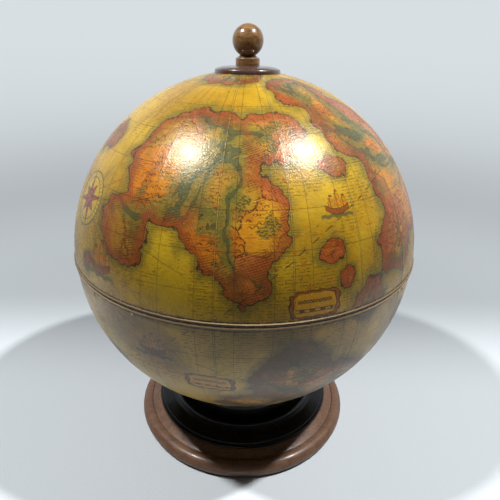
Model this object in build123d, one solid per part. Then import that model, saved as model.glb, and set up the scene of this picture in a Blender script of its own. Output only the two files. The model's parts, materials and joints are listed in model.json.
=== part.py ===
"""Tabletop globe bar: a hinged globe on a turned base, with room for a bottle and glasses.

Millimetres. The origin lies on the table under the globe's centre and +Z is up.
The front is at -Y, and the lid's hinge is at the back, at +Y.
"""

from build123d import *
import os
from collections import namedtuple
from math import atan2, cos, degrees, hypot, radians, sin, sqrt, tan

Screw = namedtuple("Screw", "shank_r head_r length")

# ------------------------------------------------------------------ driving sizes

# Globe: two paper-covered shells that meet a little above their centres
GLOBE_R = 165.0            # outside of the lid
LID_WALL = 3.5
BOWL_WALL = 3.5
LID_OVERHANG = 0.9         # the bowl is this much smaller than the lid
SEAM_GAP = 0.3             # between the closed rims
LID_SEAM_RISE = 3.2        # the seam above the lid's centre
BOWL_SEAM_RISE = 1.0       # the seam above the bowl's centre

# Wooden rims, glued into the two shells, with a bead that shows outside
RIM_WIDTH = 18.0           # from the globe's surface inwards
LID_RIM_H = 14.0
LID_BEAD_H = 2.45
BOWL_BEAD_H = 3.05
BEAD_PROUD = 0.9
BEAD_ROUND = 0.8
GLUE_GAP = 0.1

# Turned base, with felt let into its underside
BASE_R = 117.0
BASE_T = 19.0              # thickness under the plinth
BASE_EDGE_R = 8.3          # radius of the rounded edge
BASE_EDGE_H = 14.9         # top of the rounded edge above the underside
BASE_FLAT_W = 2.2          # flat on top of the rounded edge
BASE_GROOVE = 0.9
FELT_INSET = 11.0          # from the base's edge
FELT_T = 2.0
FELT_PROUD = 1.0
FELT_GAP = 0.3

# Black plinth, turned in steps: foot, bead, cove, ledge, neck and dished seat
PLINTH_INSET = 20.5        # from the base's edge
PLINTH_H = 33.4
FOOT_H = 1.7
FOOT_ROUND = 1.1
FOOT_STEP = 2.4
STEP_ROUND = 0.3
BEAD_TOP_H = 4.3
BEAD_TOP_ROUND = 1.2
COVE_LEAN = 1.8
COVE_LIFT = 3.6
COVE_ROUND = 7.0
LEDGE_W = 14.2             # from the neck's foot out to the cove
LEDGE_H = 12.8
LEDGE_ROUND = 1.8
NECK_FLARE = 5.0
NECK_ROUND = 7.0
NECK_STRAIGHT = 6.5        # upright stretch under the seat
NECK_SWEEP = 20.0
SEAT_R = 56.0
SEAT_LIP = 2.0
SEAT_LIP_ROUND = 0.8
SEAT_FELT_T = 1.5
SEAT_FELT_IN_R = 24.0

# Centre bolt through base, plinth and bowl, with its nut in a turned block
BOLT_R = 4.0
BOLT_HEAD_R = 7.5
BOLT_HEAD_H = 5.0
BOLT_CLEAR = 0.4
WASHER_T = 1.6
BOLT_WASHER_R = 11.0
NUT_H = 6.5
NUT_R = 7.5
BOLT_PROUD = 2.5           # thread beyond the nut
HEAD_COVER = 1.5           # wood or air between bolt head and felt
HEX_BEVEL = 0.5            # eased corners of nuts and bolt heads
REST_R = 50.0              # turned rest for the bottle, in the bottom of the bowl
REST_T = 15.6              # its thickness in the middle
NUT_SINK = 1.5             # the bolt's tip below the rest's top

# Boards inside the bowl
DECK_DROP = 14.0           # top of the glass deck below the seam
DECK_T = 6.0
DECK_GAP = 0.4
BOTTLE_HOLE_R = 46.0
GLASS_COUNT = 6
GLASS_HOLE_R = 29.0
HOLE_ROUND = 1.2
SHELF_DROP = 79.0          # top of the lower shelf below the bowl's centre
SHELF_T = 6.0
CLEAT_COUNT = 6            # glued blocks under each board
CLEAT_W = 20.0
CLEAT_H = 14.0
CLEAT_REACH = 11.0         # how far a block carries its board

# Finial
DISC_R = 29.5
DISC_RISE = 3.6            # disc's top above the lid's top
DISC_DOME_R = 23.0         # where the dome's slope turns level
DISC_EDGE_H = 3.8
DISC_QUIRK = 0.2
COLLAR_R = 10.7
COLLAR_H = 5.8
COLLAR_ROUND = 0.8
WAIST_R = 7.0
WAIST_RISE = 8.1           # waist above the disc
WAIST_ROUND = 1.6
BALL_R = 13.6
BALL_RISE = 20.2           # ball's centre above the disc
STUD_R = 1.75
STUD_IN_KNOB = 14.0
STUD_CLEAR = 0.2
STUD_PROUD = 2.0
STUD_WASHER_R = 8.0
STUD_NUT_R = 3.8
STUD_NUT_H = 3.2

# Butt hinge between the rims, its axis along X at the seam
LEAF_W = 50.0
LEAF_T = 1.0
LEAF_DEPTH = 19.0
BARREL_R = 2.6
PIN_R = 1.25
PIN_CLEAR = 0.05
PIN_HEAD_R = 2.2
PIN_HEAD_T = 0.8
KNUCKLES = 5
KNUCKLE_GAP = 0.2
HINGE_CLEAR = 0.3
LEAF_SEAT_GAP = 0.05
HINGE_SCREWS = 3
HINGE_SCREW_INSET = 6.0    # end screws from the leaf's ends

# Elbow stay on the right: two equal links that form a parallelogram with the hinge
STAY_INSET = 20.0          # link plane inside the rims
STAY_RISE = 8.0            # pivots above and below the seam
LINK_W = 9.0
LINK_T = 1.6
LINK_GAP = 0.4
RIVET_R = 2.0
RIVET_HEAD_R = 3.6
RIVET_HEAD_T = 1.2
RIVET_CLEAR = 0.05
ELBOW_CLEAR = 0.15         # the pivot that closes the loop
ELBOW_ROOM = 13.0          # from the elbow to the rim in front of it
LID_OPEN = 100.0           # degrees, where the stop meets the bowl's link
STOP_R = 1.5
STOP_REACH = 6.0           # from the elbow, along the bowl's link
STOP_CLEAR = 0.1
SHOULDER_R = 3.4
PLATE_T = 1.5
PLATE_LENGTH = 30.0
PLATE_H = 11.0
PLATE_END = 6.0            # plate behind its pivot
PLATE_SCREW_PITCH = 9.0
STAY_BLOCK_END = 2.0       # block beyond its plate
STAY_BLOCK_SEAM = 1.5      # block from the seam

# Countersunk wood screws
SCREW_CLEAR = 0.05
SLOT_W = 0.6
SLOT_DEPTH = 0.5
BASE_SCREW_R = 2.2         # from the base into the plinth
BASE_SCREW_HEAD_R = 4.4
BASE_SCREW_L = 32.0
BASE_SCREW_COUNT = 4
BASE_SCREW_RING_R = 45.0
BOARD_SCREW_R = 1.6        # from the boards into their blocks
BOARD_SCREW_HEAD_R = 3.2
BOARD_SCREW_L = 15.0
HINGE_SCREW_R = 1.4
HINGE_SCREW_HEAD_R = 2.7
HINGE_SCREW_L = 10.0
PLATE_SCREW_R = 1.0
PLATE_SCREW_HEAD_R = 2.0
PLATE_SCREW_L = 8.5

# ------------------------------------------------------------------ places worked out

BOWL_R = GLOBE_R - LID_OVERHANG
LID_IN_R = GLOBE_R - LID_WALL
BOWL_IN_R = BOWL_R - BOWL_WALL
RIM_IN_R = GLOBE_R - RIM_WIDTH

PLINTH_R = BASE_R - PLINTH_INSET
NECK_R = SEAT_R + SEAT_LIP
NECK_FOOT_R = NECK_R + NECK_FLARE
COVE_R = NECK_FOOT_R + LEDGE_W         # outer edge of the plinth's ledge
FELT_R = BASE_R - FELT_INSET

BASE_Z = FELT_PROUD
PLINTH_Z = BASE_Z + BASE_T
SEAT_Z = PLINTH_Z + PLINTH_H
BOWL_Z = SEAT_Z + sqrt((BOWL_R + SEAT_FELT_T) ** 2 - SEAT_R ** 2)
SEAM_Z = BOWL_Z + BOWL_SEAM_RISE
LID_Z = SEAM_Z - LID_SEAM_RISE
LID_FOOT_Z = SEAM_Z + SEAM_GAP / 2
BOWL_TOP_Z = SEAM_Z - SEAM_GAP / 2
LID_SHELL_Z = LID_FOOT_Z + LID_BEAD_H
BOWL_SHELL_Z = BOWL_TOP_Z - BOWL_BEAD_H

DECK_Z = SEAM_Z - DECK_DROP - DECK_T
DECK_R = RIM_IN_R - DECK_GAP
GLASS_RING_R = (BOTTLE_HOLE_R + DECK_R) / 2
GLASS_START = 180.0 / GLASS_COUNT
SHELF_Z = BOWL_Z - SHELF_DROP - SHELF_T
SHELF_R = sqrt(BOWL_IN_R ** 2 - (BOWL_Z - SHELF_Z) ** 2) - DECK_GAP
REST_Z = BOWL_Z - BOWL_IN_R + REST_T

DISC_Z = LID_Z + sqrt(GLOBE_R ** 2 - DISC_R ** 2)
DISC_TOP_Z = LID_Z + GLOBE_R + DISC_RISE
BALL_Z = DISC_TOP_Z + BALL_RISE
STUD_WASHER_Z = LID_Z + sqrt(LID_IN_R ** 2 - STUD_WASHER_R ** 2) - WASHER_T
STUD_NUT_Z = STUD_WASHER_Z - STUD_NUT_H

HINGE_Y = GLOBE_R + BEAD_PROUD + BARREL_R + HINGE_CLEAR
LEAF_Y = HINGE_Y - LEAF_DEPTH
LINK_X = RIM_IN_R - STAY_INSET         # inner face of the lid's link
ELBOW_Y = ELBOW_ROOM - sqrt(RIM_IN_R ** 2 - (LINK_X + LINK_T) ** 2)
PIVOT_Y = (HINGE_Y + ELBOW_Y) / 2
PLATE_X = LINK_X + LINK_T + LINK_GAP
LID_PIVOT = (PIVOT_Y, SEAM_Z + STAY_RISE)
BOWL_PIVOT = (PIVOT_Y, SEAM_Z - STAY_RISE)
ELBOW = (ELBOW_Y, SEAM_Z)

BASE_SCREW = Screw(BASE_SCREW_R, BASE_SCREW_HEAD_R, BASE_SCREW_L)
BOARD_SCREW = Screw(BOARD_SCREW_R, BOARD_SCREW_HEAD_R, BOARD_SCREW_L)
HINGE_SCREW = Screw(HINGE_SCREW_R, HINGE_SCREW_HEAD_R, HINGE_SCREW_L)
PLATE_SCREW = Screw(PLATE_SCREW_R, PLATE_SCREW_HEAD_R, PLATE_SCREW_L)

TOUCH = 0.01               # lets a cutter pass a face
BIG = 4 * GLOBE_R
FILLET_SHARE = 0.98        # most of a side that its two roundings may take

# ------------------------------------------------------------------ shared shapes


def fitting_radii(points, radii):
    """The roundings of an outline's corners, made smaller where a side is too short for its two."""
    corners = [Vector(*point) for point in points]
    count = len(corners)
    sides = [corners[(i + 1) % count] - corners[i] for i in range(count)]
    turns = [radians(sides[i - 1].get_angle(sides[i])) for i in range(count)]
    reach = [radius * tan(turn / 2) for radius, turn in zip(radii, turns)]
    shares = [FILLET_SHARE * sides[i].length / max(reach[i] + reach[(i + 1) % count], TOUCH)
              for i in range(count)]
    return [radius * min(1, shares[i - 1], shares[i]) for i, radius in enumerate(radii)]


def turned(points, radii=None):
    """A solid turned about the Z axis from the corners (radius, height) of its outline."""
    roundings = fitting_radii(points, radii) if radii else 0
    outline = FilletPolyline(*points, radius=roundings, close=True)
    return revolve(Plane.XZ * make_face(outline), Axis.Z)


def ring(inner_r, outer_r, low_z, high_z):
    """A plain turned ring, or a disc where the inner radius is 0."""
    return turned([(inner_r, low_z), (outer_r, low_z), (outer_r, high_z), (inner_r, high_z)])


def ball(radius, z):
    return Pos(0, 0, z) * Sphere(radius)


def block(x0, x1, y0, y1, z0, z1):
    """A box between two corners."""
    size = Box(x1 - x0, y1 - y0, z1 - z0)
    return Pos((x0 + x1) / 2, (y0 + y1) / 2, (z0 + z1) / 2) * size


def rod(radius, x0, x1, y, z):
    """A round rod along X."""
    lying = Rot(0, 90, 0) * Cylinder(radius, x1 - x0)
    return Pos((x0 + x1) / 2, y, z) * lying


def hexagon(radius, bore, low_z, height):
    """A hexagon nut or bolt head standing on low_z, with its corners on the radius."""
    high_z = low_z + height
    crown = turned([(0, low_z), (radius - HEX_BEVEL, low_z), (radius, low_z + HEX_BEVEL),
                    (radius, high_z - HEX_BEVEL), (radius - HEX_BEVEL, high_z), (0, high_z)])
    nut = extrude(Pos(0, 0, low_z) * RegularPolygon(radius, 6), height) & crown
    return nut - ring(0, bore, low_z - TOUCH, high_z + TOUCH) if bore else nut


def screw_form(spec, grow=0.0):
    """A countersunk screw that points down from z = 0, or the hole for it when grown."""
    shank, head, tip = spec.shank_r + grow, spec.head_r + grow, spec.length + grow
    form = turned([(0, 0), (head, 0), (shank, shank - head), (shank, shank - tip), (0, -tip)])
    return form + ring(0, head, 0, grow) if grow else form


def slotted(spec):
    """The screw with the slot for the screwdriver in its head."""
    slot = block(-spec.head_r, spec.head_r, -SLOT_W / 2, SLOT_W / 2, -SLOT_DEPTH, TOUCH)
    return screw_form(spec) - slot


def fastened(places, spec):
    """One slotted screw at each place, as a list of solids."""
    return [place * slotted(spec) for place in places]


def drilled(piece, places, spec):
    """The piece with a close hole for a screw at each place."""
    for place in places:
        piece -= place * screw_form(spec, SCREW_CLEAR)
    return piece


def around(count, radius, z, start=0.0):
    """Places on a circle, each turned so that its X axis points outwards."""
    step = 360.0 / count
    return [Rot(0, 0, start + step * i) * Pos(radius, 0, z) for i in range(count)]


def link_bar(start, end, inner_x, width):
    """A flat bar with round ends between two points (y, z), from inner_x outwards."""
    run = (end[0] - start[0], end[1] - start[1])
    middle = ((start[0] + end[0]) / 2, (start[1] + end[1]) / 2)
    shape = Rot(0, 0, degrees(atan2(run[1], run[0]))) * SlotCenterToCenter(hypot(*run), width)
    return extrude(Plane.YZ.offset(inner_x) * Pos(*middle) * shape, LINK_T)


# ------------------------------------------------------------------ base


BASE_SCREW_PLACES = [
    place * Rot(180, 0, 0)
    for place in around(BASE_SCREW_COUNT, BASE_SCREW_RING_R, BASE_Z + FELT_T - FELT_PROUD,
                        180.0 / BASE_SCREW_COUNT)
]
BOLT_HEAD_Z = BASE_Z + FELT_T - FELT_PROUD + HEAD_COVER
BOLT_WASHER_Z = BOLT_HEAD_Z + BOLT_HEAD_H
BOLT_TOP_Z = REST_Z - NUT_SINK
NUT_Z = BOLT_TOP_Z - BOLT_PROUD - NUT_H
NUT_WASHER_Z = NUT_Z - WASHER_T
BOLT_HOLE = ring(0, BOLT_R + BOLT_CLEAR, -BIG, BIG)


def base_disc():
    """Walnut disc with a rounded edge, a fine groove and a slope up to the plinth."""
    centre_r = BASE_R - BASE_EDGE_R
    top = BASE_Z + BASE_EDGE_H
    centre_z = top - BASE_EDGE_R
    drop = centre_z - BASE_Z
    flat_r = centre_r + sqrt(BASE_EDGE_R ** 2 - drop ** 2)
    start = -degrees(atan2(drop, flat_r - centre_r))
    groove_r = centre_r - BASE_FLAT_W
    edge = CenterArc((centre_r, centre_z), BASE_EDGE_R, start, 90 - start)
    rest = Polyline((centre_r, top), (groove_r, top), (groove_r - BASE_GROOVE / 2, top - BASE_GROOVE),
                    (groove_r - BASE_GROOVE, top - BASE_GROOVE / 3),
                    (PLINTH_R + BASE_GROOVE, PLINTH_Z), (0, PLINTH_Z), (0, BASE_Z), (flat_r, BASE_Z))
    disc = revolve(Plane.XZ * make_face([edge, *rest.edges()]), Axis.Z)
    disc -= ring(0, FELT_R + FELT_GAP, BASE_Z - TOUCH, BASE_Z + FELT_T - FELT_PROUD)
    disc -= ring(0, BOLT_WASHER_R + BOLT_CLEAR, BASE_Z, BOLT_WASHER_Z + WASHER_T)
    return drilled(disc - BOLT_HOLE, BASE_SCREW_PLACES, BASE_SCREW)


def base_felt():
    return ring(0, FELT_R, 0, FELT_T)


def plinth():
    """Black turned plinth with a dished seat for the globe."""
    bead_r = PLINTH_R - FOOT_STEP
    corners = [
        (0, 0, 0),
        (PLINTH_R, 0, 0),
        (PLINTH_R, FOOT_H, FOOT_ROUND),
        (bead_r, FOOT_H, STEP_ROUND),
        (bead_r, BEAD_TOP_H, BEAD_TOP_ROUND),
        (COVE_R + COVE_LEAN, BEAD_TOP_H + COVE_LIFT, COVE_ROUND),
        (COVE_R, LEDGE_H, LEDGE_ROUND),
        (NECK_FOOT_R, LEDGE_H, NECK_ROUND),
        (NECK_R, PLINTH_H - NECK_STRAIGHT, NECK_SWEEP),
        (NECK_R, PLINTH_H, SEAT_LIP_ROUND),
        (0, PLINTH_H, 0),
    ]
    body = turned([(r, PLINTH_Z + z) for r, z, _ in corners], [rounding for _, _, rounding in corners])
    body -= ball(BOWL_R + SEAT_FELT_T, BOWL_Z)
    return drilled(body - BOLT_HOLE, BASE_SCREW_PLACES, BASE_SCREW)


def seat_felt():
    """Felt ring between plinth and bowl, bent to the bowl's surface."""
    skin = ball(BOWL_R + SEAT_FELT_T, BOWL_Z) - ball(BOWL_R, BOWL_Z)
    return skin & ring(SEAT_FELT_IN_R, SEAT_R, PLINTH_Z, SEAT_Z + SEAT_R)


def centre_bolt():
    shank = ring(0, BOLT_R, BOLT_WASHER_Z - TOUCH, BOLT_TOP_Z)
    return shank + hexagon(BOLT_HEAD_R, 0, BOLT_HEAD_Z, BOLT_HEAD_H)


def bolt_washer():
    return ring(BOLT_R + BOLT_CLEAR, BOLT_WASHER_R, BOLT_WASHER_Z, BOLT_WASHER_Z + WASHER_T)


def nut_washer():
    return ring(BOLT_R + BOLT_CLEAR, BOLT_WASHER_R, NUT_WASHER_Z, NUT_Z)


def centre_nut():
    return hexagon(NUT_R, BOLT_R, NUT_Z, NUT_H)


def bottle_rest():
    """Turned block in the bottom of the bowl: the bottle stands on it, over the nut."""
    body = ring(0, REST_R, BOWL_Z - BOWL_IN_R, REST_Z) & ball(BOWL_IN_R, BOWL_Z)
    body -= ring(0, BOLT_WASHER_R + BOLT_CLEAR, NUT_WASHER_Z, REST_Z + TOUCH)
    return body - BOLT_HOLE


# ------------------------------------------------------------------ bowl


CLEAT_STEP = 360.0 / CLEAT_COUNT
DECK_SCREW_PLACES = around(CLEAT_COUNT, DECK_R - CLEAT_REACH / 2, DECK_Z + DECK_T)
SHELF_SCREW_PLACES = around(CLEAT_COUNT, SHELF_R - CLEAT_REACH, SHELF_Z + SHELF_T)
HINGE_SCREW_Y = (LEAF_Y + GLOBE_R) / 2
LEAF_SCREW_STEP = (LEAF_W - 2 * HINGE_SCREW_INSET) / (HINGE_SCREWS - 1)
LEAF_SCREW_X = [HINGE_SCREW_INSET - LEAF_W / 2 + LEAF_SCREW_STEP * i for i in range(HINGE_SCREWS)]
LID_LEAF_SCREWS = [Pos(x, HINGE_SCREW_Y, LID_FOOT_Z) * Rot(180, 0, 0) for x in LEAF_SCREW_X]
BOWL_LEAF_SCREWS = [Pos(x, HINGE_SCREW_Y, BOWL_TOP_Z) for x in LEAF_SCREW_X]


def rim_bead(outer_r, low_z, high_z, round_low):
    """The part of a rim that shows outside, rounded towards the seam."""
    radii = [0, BEAD_ROUND, BEAD_ROUND / 2, 0] if round_low else [0, BEAD_ROUND / 2, BEAD_ROUND, 0]
    corners = [(RIM_IN_R, low_z), (outer_r, low_z), (outer_r, high_z), (RIM_IN_R, high_z)]
    return turned(corners, radii)


def hinge_seat(face_z, up):
    """The shallow seat cut into a rim for its hinge leaf."""
    depth = LEAF_T + LEAF_SEAT_GAP
    low, high = (face_z - TOUCH, face_z + depth) if up else (face_z - depth, face_z + TOUCH)
    half = LEAF_W / 2 + LEAF_SEAT_GAP
    return block(-half, half, LEAF_Y - LEAF_SEAT_GAP, HINGE_Y, low, high)


def bowl_shell():
    wall = ball(BOWL_R, BOWL_Z) - ball(BOWL_IN_R, BOWL_Z)
    return (wall & ring(0, BIG, BOWL_Z - BOWL_R - TOUCH, BOWL_SHELL_Z)) - BOLT_HOLE


def bowl_rim():
    """Wooden hoop inside the bowl's edge, down to the underside of the glass deck."""
    bead = rim_bead(BOWL_R + BEAD_PROUD, BOWL_SHELL_Z, BOWL_TOP_Z, round_low=False)
    hoop = ring(RIM_IN_R, BOWL_R, DECK_Z, BOWL_TOP_Z) & ball(BOWL_IN_R - GLUE_GAP, BOWL_Z)
    rim = bead + hoop - hinge_seat(BOWL_TOP_Z, up=False)
    return drilled(rim, BOWL_LEAF_SCREWS, HINGE_SCREW)


def hole_cutters(places, radius, low_z, high_z):
    """Round holes with eased edges through a board."""
    cutter = turned([(0, low_z - TOUCH), (radius + HOLE_ROUND, low_z - TOUCH), (radius, low_z + HOLE_ROUND),
                     (radius, high_z - HOLE_ROUND), (radius + HOLE_ROUND, high_z + TOUCH),
                     (0, high_z + TOUCH)])
    return [place * cutter for place in places]


def glass_deck():
    """Upper board: a hole for the bottle's neck and body, and a ring of holes for glasses."""
    deck = ring(0, DECK_R, DECK_Z, DECK_Z + DECK_T)
    glasses = around(GLASS_COUNT, GLASS_RING_R, 0, GLASS_START)
    for cutter in hole_cutters(glasses, GLASS_HOLE_R, DECK_Z, DECK_Z + DECK_T):
        deck -= cutter
    deck -= hole_cutters([Pos(0, 0, 0)], BOTTLE_HOLE_R, DECK_Z, DECK_Z + DECK_T)[0]
    return drilled(deck, DECK_SCREW_PLACES, BOARD_SCREW)


def glass_shelf():
    """Lower board: the glasses stand on it and the bottle passes through it."""
    shelf = ring(0, SHELF_R, SHELF_Z, SHELF_Z + SHELF_T)
    shelf -= hole_cutters([Pos(0, 0, 0)], BOTTLE_HOLE_R, SHELF_Z, SHELF_Z + SHELF_T)[0]
    return drilled(shelf, SHELF_SCREW_PLACES, BOARD_SCREW)


def glued_blocks(board_r, board_z, reach, screw_places):
    """Blocks glued to the bowl's wall under a board, one solid each."""
    inside = ball(BOWL_IN_R, BOWL_Z)
    blocks = []
    for i, place in enumerate(screw_places):
        plain = block(board_r - reach, BOWL_IN_R, -CLEAT_W / 2, CLEAT_W / 2, board_z - CLEAT_H, board_z)
        fitted = Rot(0, 0, CLEAT_STEP * i) * plain & inside
        blocks.append(drilled(fitted, [place], BOARD_SCREW))
    return blocks


def deck_blocks():
    return glued_blocks(DECK_R, DECK_Z, CLEAT_REACH, DECK_SCREW_PLACES)


def shelf_blocks():
    return glued_blocks(SHELF_R, SHELF_Z, 2 * CLEAT_REACH, SHELF_SCREW_PLACES)


# ------------------------------------------------------------------ lid


def lid_shell():
    wall = ball(GLOBE_R, LID_Z) - ball(LID_IN_R, LID_Z)
    dome = wall & ring(0, BIG, LID_SHELL_Z, LID_Z + GLOBE_R + TOUCH)
    return dome - ring(0, STUD_R + STUD_CLEAR, LID_Z, BIG)


def lid_rim():
    """Wooden hoop inside the lid's edge."""
    bead = rim_bead(GLOBE_R + BEAD_PROUD, LID_FOOT_Z, LID_SHELL_Z, round_low=True)
    hoop = ring(RIM_IN_R, GLOBE_R, LID_FOOT_Z, LID_FOOT_Z + LID_RIM_H) & ball(LID_IN_R - GLUE_GAP, LID_Z)
    rim = bead + hoop - hinge_seat(LID_FOOT_Z, up=True)
    return drilled(rim, LID_LEAF_SCREWS, HINGE_SCREW)


def finial_disc():
    """Turned disc under the knob, hollowed to sit on the lid: a bead, a fine quirk and a dome."""
    edge_top = DISC_Z + DISC_EDGE_H
    bead_r = DISC_R - DISC_EDGE_H / 2
    bead = Bezier((DISC_R, DISC_Z), (DISC_R, edge_top), (bead_r, edge_top))
    quirk = Polyline((bead_r, edge_top), (bead_r - DISC_QUIRK, edge_top - DISC_QUIRK),
                     (bead_r - 1.5 * DISC_QUIRK, edge_top + DISC_QUIRK / 2))
    dome = Bezier(quirk @ 1, (DISC_DOME_R, DISC_TOP_Z), (COLLAR_R, DISC_TOP_Z))
    rest = Polyline((COLLAR_R, DISC_TOP_Z), (0, DISC_TOP_Z), (0, DISC_Z), (DISC_R, DISC_Z))
    outline = make_face([bead, *quirk.edges(), dome, *rest.edges()])
    disc = revolve(Plane.XZ * outline, Axis.Z) - ball(GLOBE_R, LID_Z)
    return disc - ring(0, STUD_R + STUD_CLEAR, DISC_Z, DISC_TOP_Z + TOUCH)


def finial_knob():
    """Ball on a waisted collar, bored from below for the stud."""
    corners = [(0, 0), (COLLAR_R, 0), (COLLAR_R, COLLAR_H), (WAIST_R, WAIST_RISE),
               (WAIST_R, BALL_RISE), (0, BALL_RISE)]
    stem = turned([(r, DISC_TOP_Z + z) for r, z in corners], [0, 0, COLLAR_ROUND, WAIST_ROUND, 0, 0])
    knob = stem + ball(BALL_R, BALL_Z)
    return knob - ring(0, STUD_R + SCREW_CLEAR, DISC_TOP_Z - TOUCH, DISC_TOP_Z + STUD_IN_KNOB + STUD_CLEAR)


def finial_stud():
    return ring(0, STUD_R, STUD_NUT_Z - STUD_PROUD, DISC_TOP_Z + STUD_IN_KNOB)


def finial_washer():
    return ring(STUD_R + STUD_CLEAR, STUD_WASHER_R, STUD_WASHER_Z, STUD_WASHER_Z + WASHER_T)


def finial_nut():
    return hexagon(STUD_NUT_R, STUD_R, STUD_NUT_Z, STUD_NUT_H)


# ------------------------------------------------------------------ hinge


def hinge_leaf(face_z, up, first):
    """A leaf let into a rim, with every other knuckle of the barrel from number first."""
    low, high = (face_z, face_z + LEAF_T) if up else (face_z - LEAF_T, face_z)
    pitch = LEAF_W / KNUCKLES
    leaf = block(-LEAF_W / 2, LEAF_W / 2, LEAF_Y, HINGE_Y - BARREL_R - HINGE_CLEAR, low, high)
    for i in range(first, KNUCKLES, 2):
        x0 = -LEAF_W / 2 + pitch * i + (KNUCKLE_GAP / 2 if i else 0)
        x1 = -LEAF_W / 2 + pitch * (i + 1) - (KNUCKLE_GAP / 2 if i < KNUCKLES - 1 else 0)
        leaf += block(x0, x1, LEAF_Y, HINGE_Y, low, high) + rod(BARREL_R, x0, x1, HINGE_Y, SEAM_Z)
    return leaf - rod(PIN_R + PIN_CLEAR, -LEAF_W, LEAF_W, HINGE_Y, SEAM_Z)


def hinge_leaf_bowl():
    return drilled(hinge_leaf(BOWL_TOP_Z, up=False, first=0), BOWL_LEAF_SCREWS, HINGE_SCREW)


def hinge_leaf_lid():
    return drilled(hinge_leaf(LID_FOOT_Z, up=True, first=1), LID_LEAF_SCREWS, HINGE_SCREW)


def hinge_pin():
    """Pin with a small head at each end of the barrel."""
    half = LEAF_W / 2
    pin = rod(PIN_R, -half - PIN_HEAD_T, half + PIN_HEAD_T, HINGE_Y, SEAM_Z)
    for x in (-half - PIN_HEAD_T, half):
        pin += rod(PIN_HEAD_R, x, x + PIN_HEAD_T, HINGE_Y, SEAM_Z)
    return pin


# ------------------------------------------------------------------ stay


def stay_block(low_z, high_z):
    """Wedge of wood glued inside a rim, flat towards the stay."""
    front = PIVOT_Y + PLATE_END - PLATE_LENGTH - STAY_BLOCK_END
    back = PIVOT_Y + PLATE_END + STAY_BLOCK_END
    wedge = block(PLATE_X + PLATE_T, GLOBE_R, front, back, low_z, high_z)
    return wedge & ring(0, RIM_IN_R, low_z, high_z)


def stay_plate(pivot):
    """Flat plate on the block; its rivet is the pivot."""
    y, z = pivot
    plate = block(PLATE_X, PLATE_X + PLATE_T, y + PLATE_END - PLATE_LENGTH, y + PLATE_END,
                  z - PLATE_H / 2, z + PLATE_H / 2)
    return plate - rod(RIVET_R, PLATE_X - TOUCH, PLATE_X + PLATE_T + TOUCH, y, z)


def plate_screw_places(pivot):
    """Screws in front of the pivot, pointing outwards along X."""
    first = pivot[0] + PLATE_END - PLATE_LENGTH + PLATE_SCREW_PITCH / 2
    return [Pos(PLATE_X, first + PLATE_SCREW_PITCH * i, pivot[1]) * Rot(0, -90, 0) for i in range(2)]


BOWL_LINK_X = LINK_X - LINK_GAP - LINK_T


def stop_point():
    """Where the stop stands, beside the bowl's link as it lies when the lid is open."""
    along = atan2(BOWL_PIVOT[1] - ELBOW[1], BOWL_PIVOT[0] - ELBOW[0]) - radians(LID_OPEN)
    aside = LINK_W / 2 + STOP_R + STOP_CLEAR
    return (ELBOW[0] + STOP_REACH * cos(along) + aside * sin(along),
            ELBOW[1] + STOP_REACH * sin(along) - aside * cos(along))


def lid_link():
    """Link from the lid's pivot to the elbow, with an ear and a peg that stops the bowl's link."""
    bar = link_bar(LID_PIVOT, ELBOW, LINK_X, LINK_W)
    bar += link_bar(ELBOW, stop_point(), LINK_X, LINK_W - 2 * STOP_R)
    bar += rod(STOP_R, BOWL_LINK_X, LINK_X + LINK_T, *stop_point())
    bar -= rod(RIVET_R + RIVET_CLEAR, LINK_X - TOUCH, PLATE_X, *LID_PIVOT)
    return bar - rod(RIVET_R + ELBOW_CLEAR, LINK_X - TOUCH, PLATE_X, *ELBOW)


def bowl_link():
    """Link from the bowl's pivot to the elbow, one layer further in."""
    bar = link_bar(BOWL_PIVOT, ELBOW, BOWL_LINK_X, LINK_W)
    bar -= rod(RIVET_R + RIVET_CLEAR, BOWL_LINK_X - TOUCH, LINK_X, *BOWL_PIVOT)
    return bar - rod(RIVET_R, BOWL_LINK_X - TOUCH, LINK_X, *ELBOW)


def rivet(pivot, link_x, tail_x):
    """Rivet with its head on the inner side of a link, and its tail end at tail_x."""
    head_face = link_x - LINK_GAP / 2
    pin = rod(RIVET_R, head_face - RIVET_HEAD_T, tail_x, *pivot)
    return pin + rod(RIVET_HEAD_R, head_face - RIVET_HEAD_T, head_face, *pivot)


def rivet_lid():
    return rivet(LID_PIVOT, LINK_X, PLATE_X + PLATE_T)


def rivet_bowl():
    """The bowl's rivet has a shoulder that holds its link clear of the lid's link."""
    pin = rivet(BOWL_PIVOT, BOWL_LINK_X, PLATE_X + PLATE_T)
    return pin + rod(SHOULDER_R, LINK_X - LINK_GAP / 2, PLATE_X, *BOWL_PIVOT)


def rivet_elbow():
    """The elbow's rivet is fast in the bowl's link and loose in the lid's."""
    tail_face = LINK_X + LINK_T + LINK_GAP / 2
    pin = rod(RIVET_R, BOWL_LINK_X - RIVET_HEAD_T, tail_face + RIVET_HEAD_T, *ELBOW)
    pin += rod(RIVET_HEAD_R, BOWL_LINK_X - RIVET_HEAD_T, BOWL_LINK_X, *ELBOW)
    return pin + rod(RIVET_HEAD_R, tail_face, tail_face + RIVET_HEAD_T, *ELBOW)


# ------------------------------------------------------------------ all pieces

LID_PLATE_SCREWS = plate_screw_places(LID_PIVOT)
BOWL_PLATE_SCREWS = plate_screw_places(BOWL_PIVOT)

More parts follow.
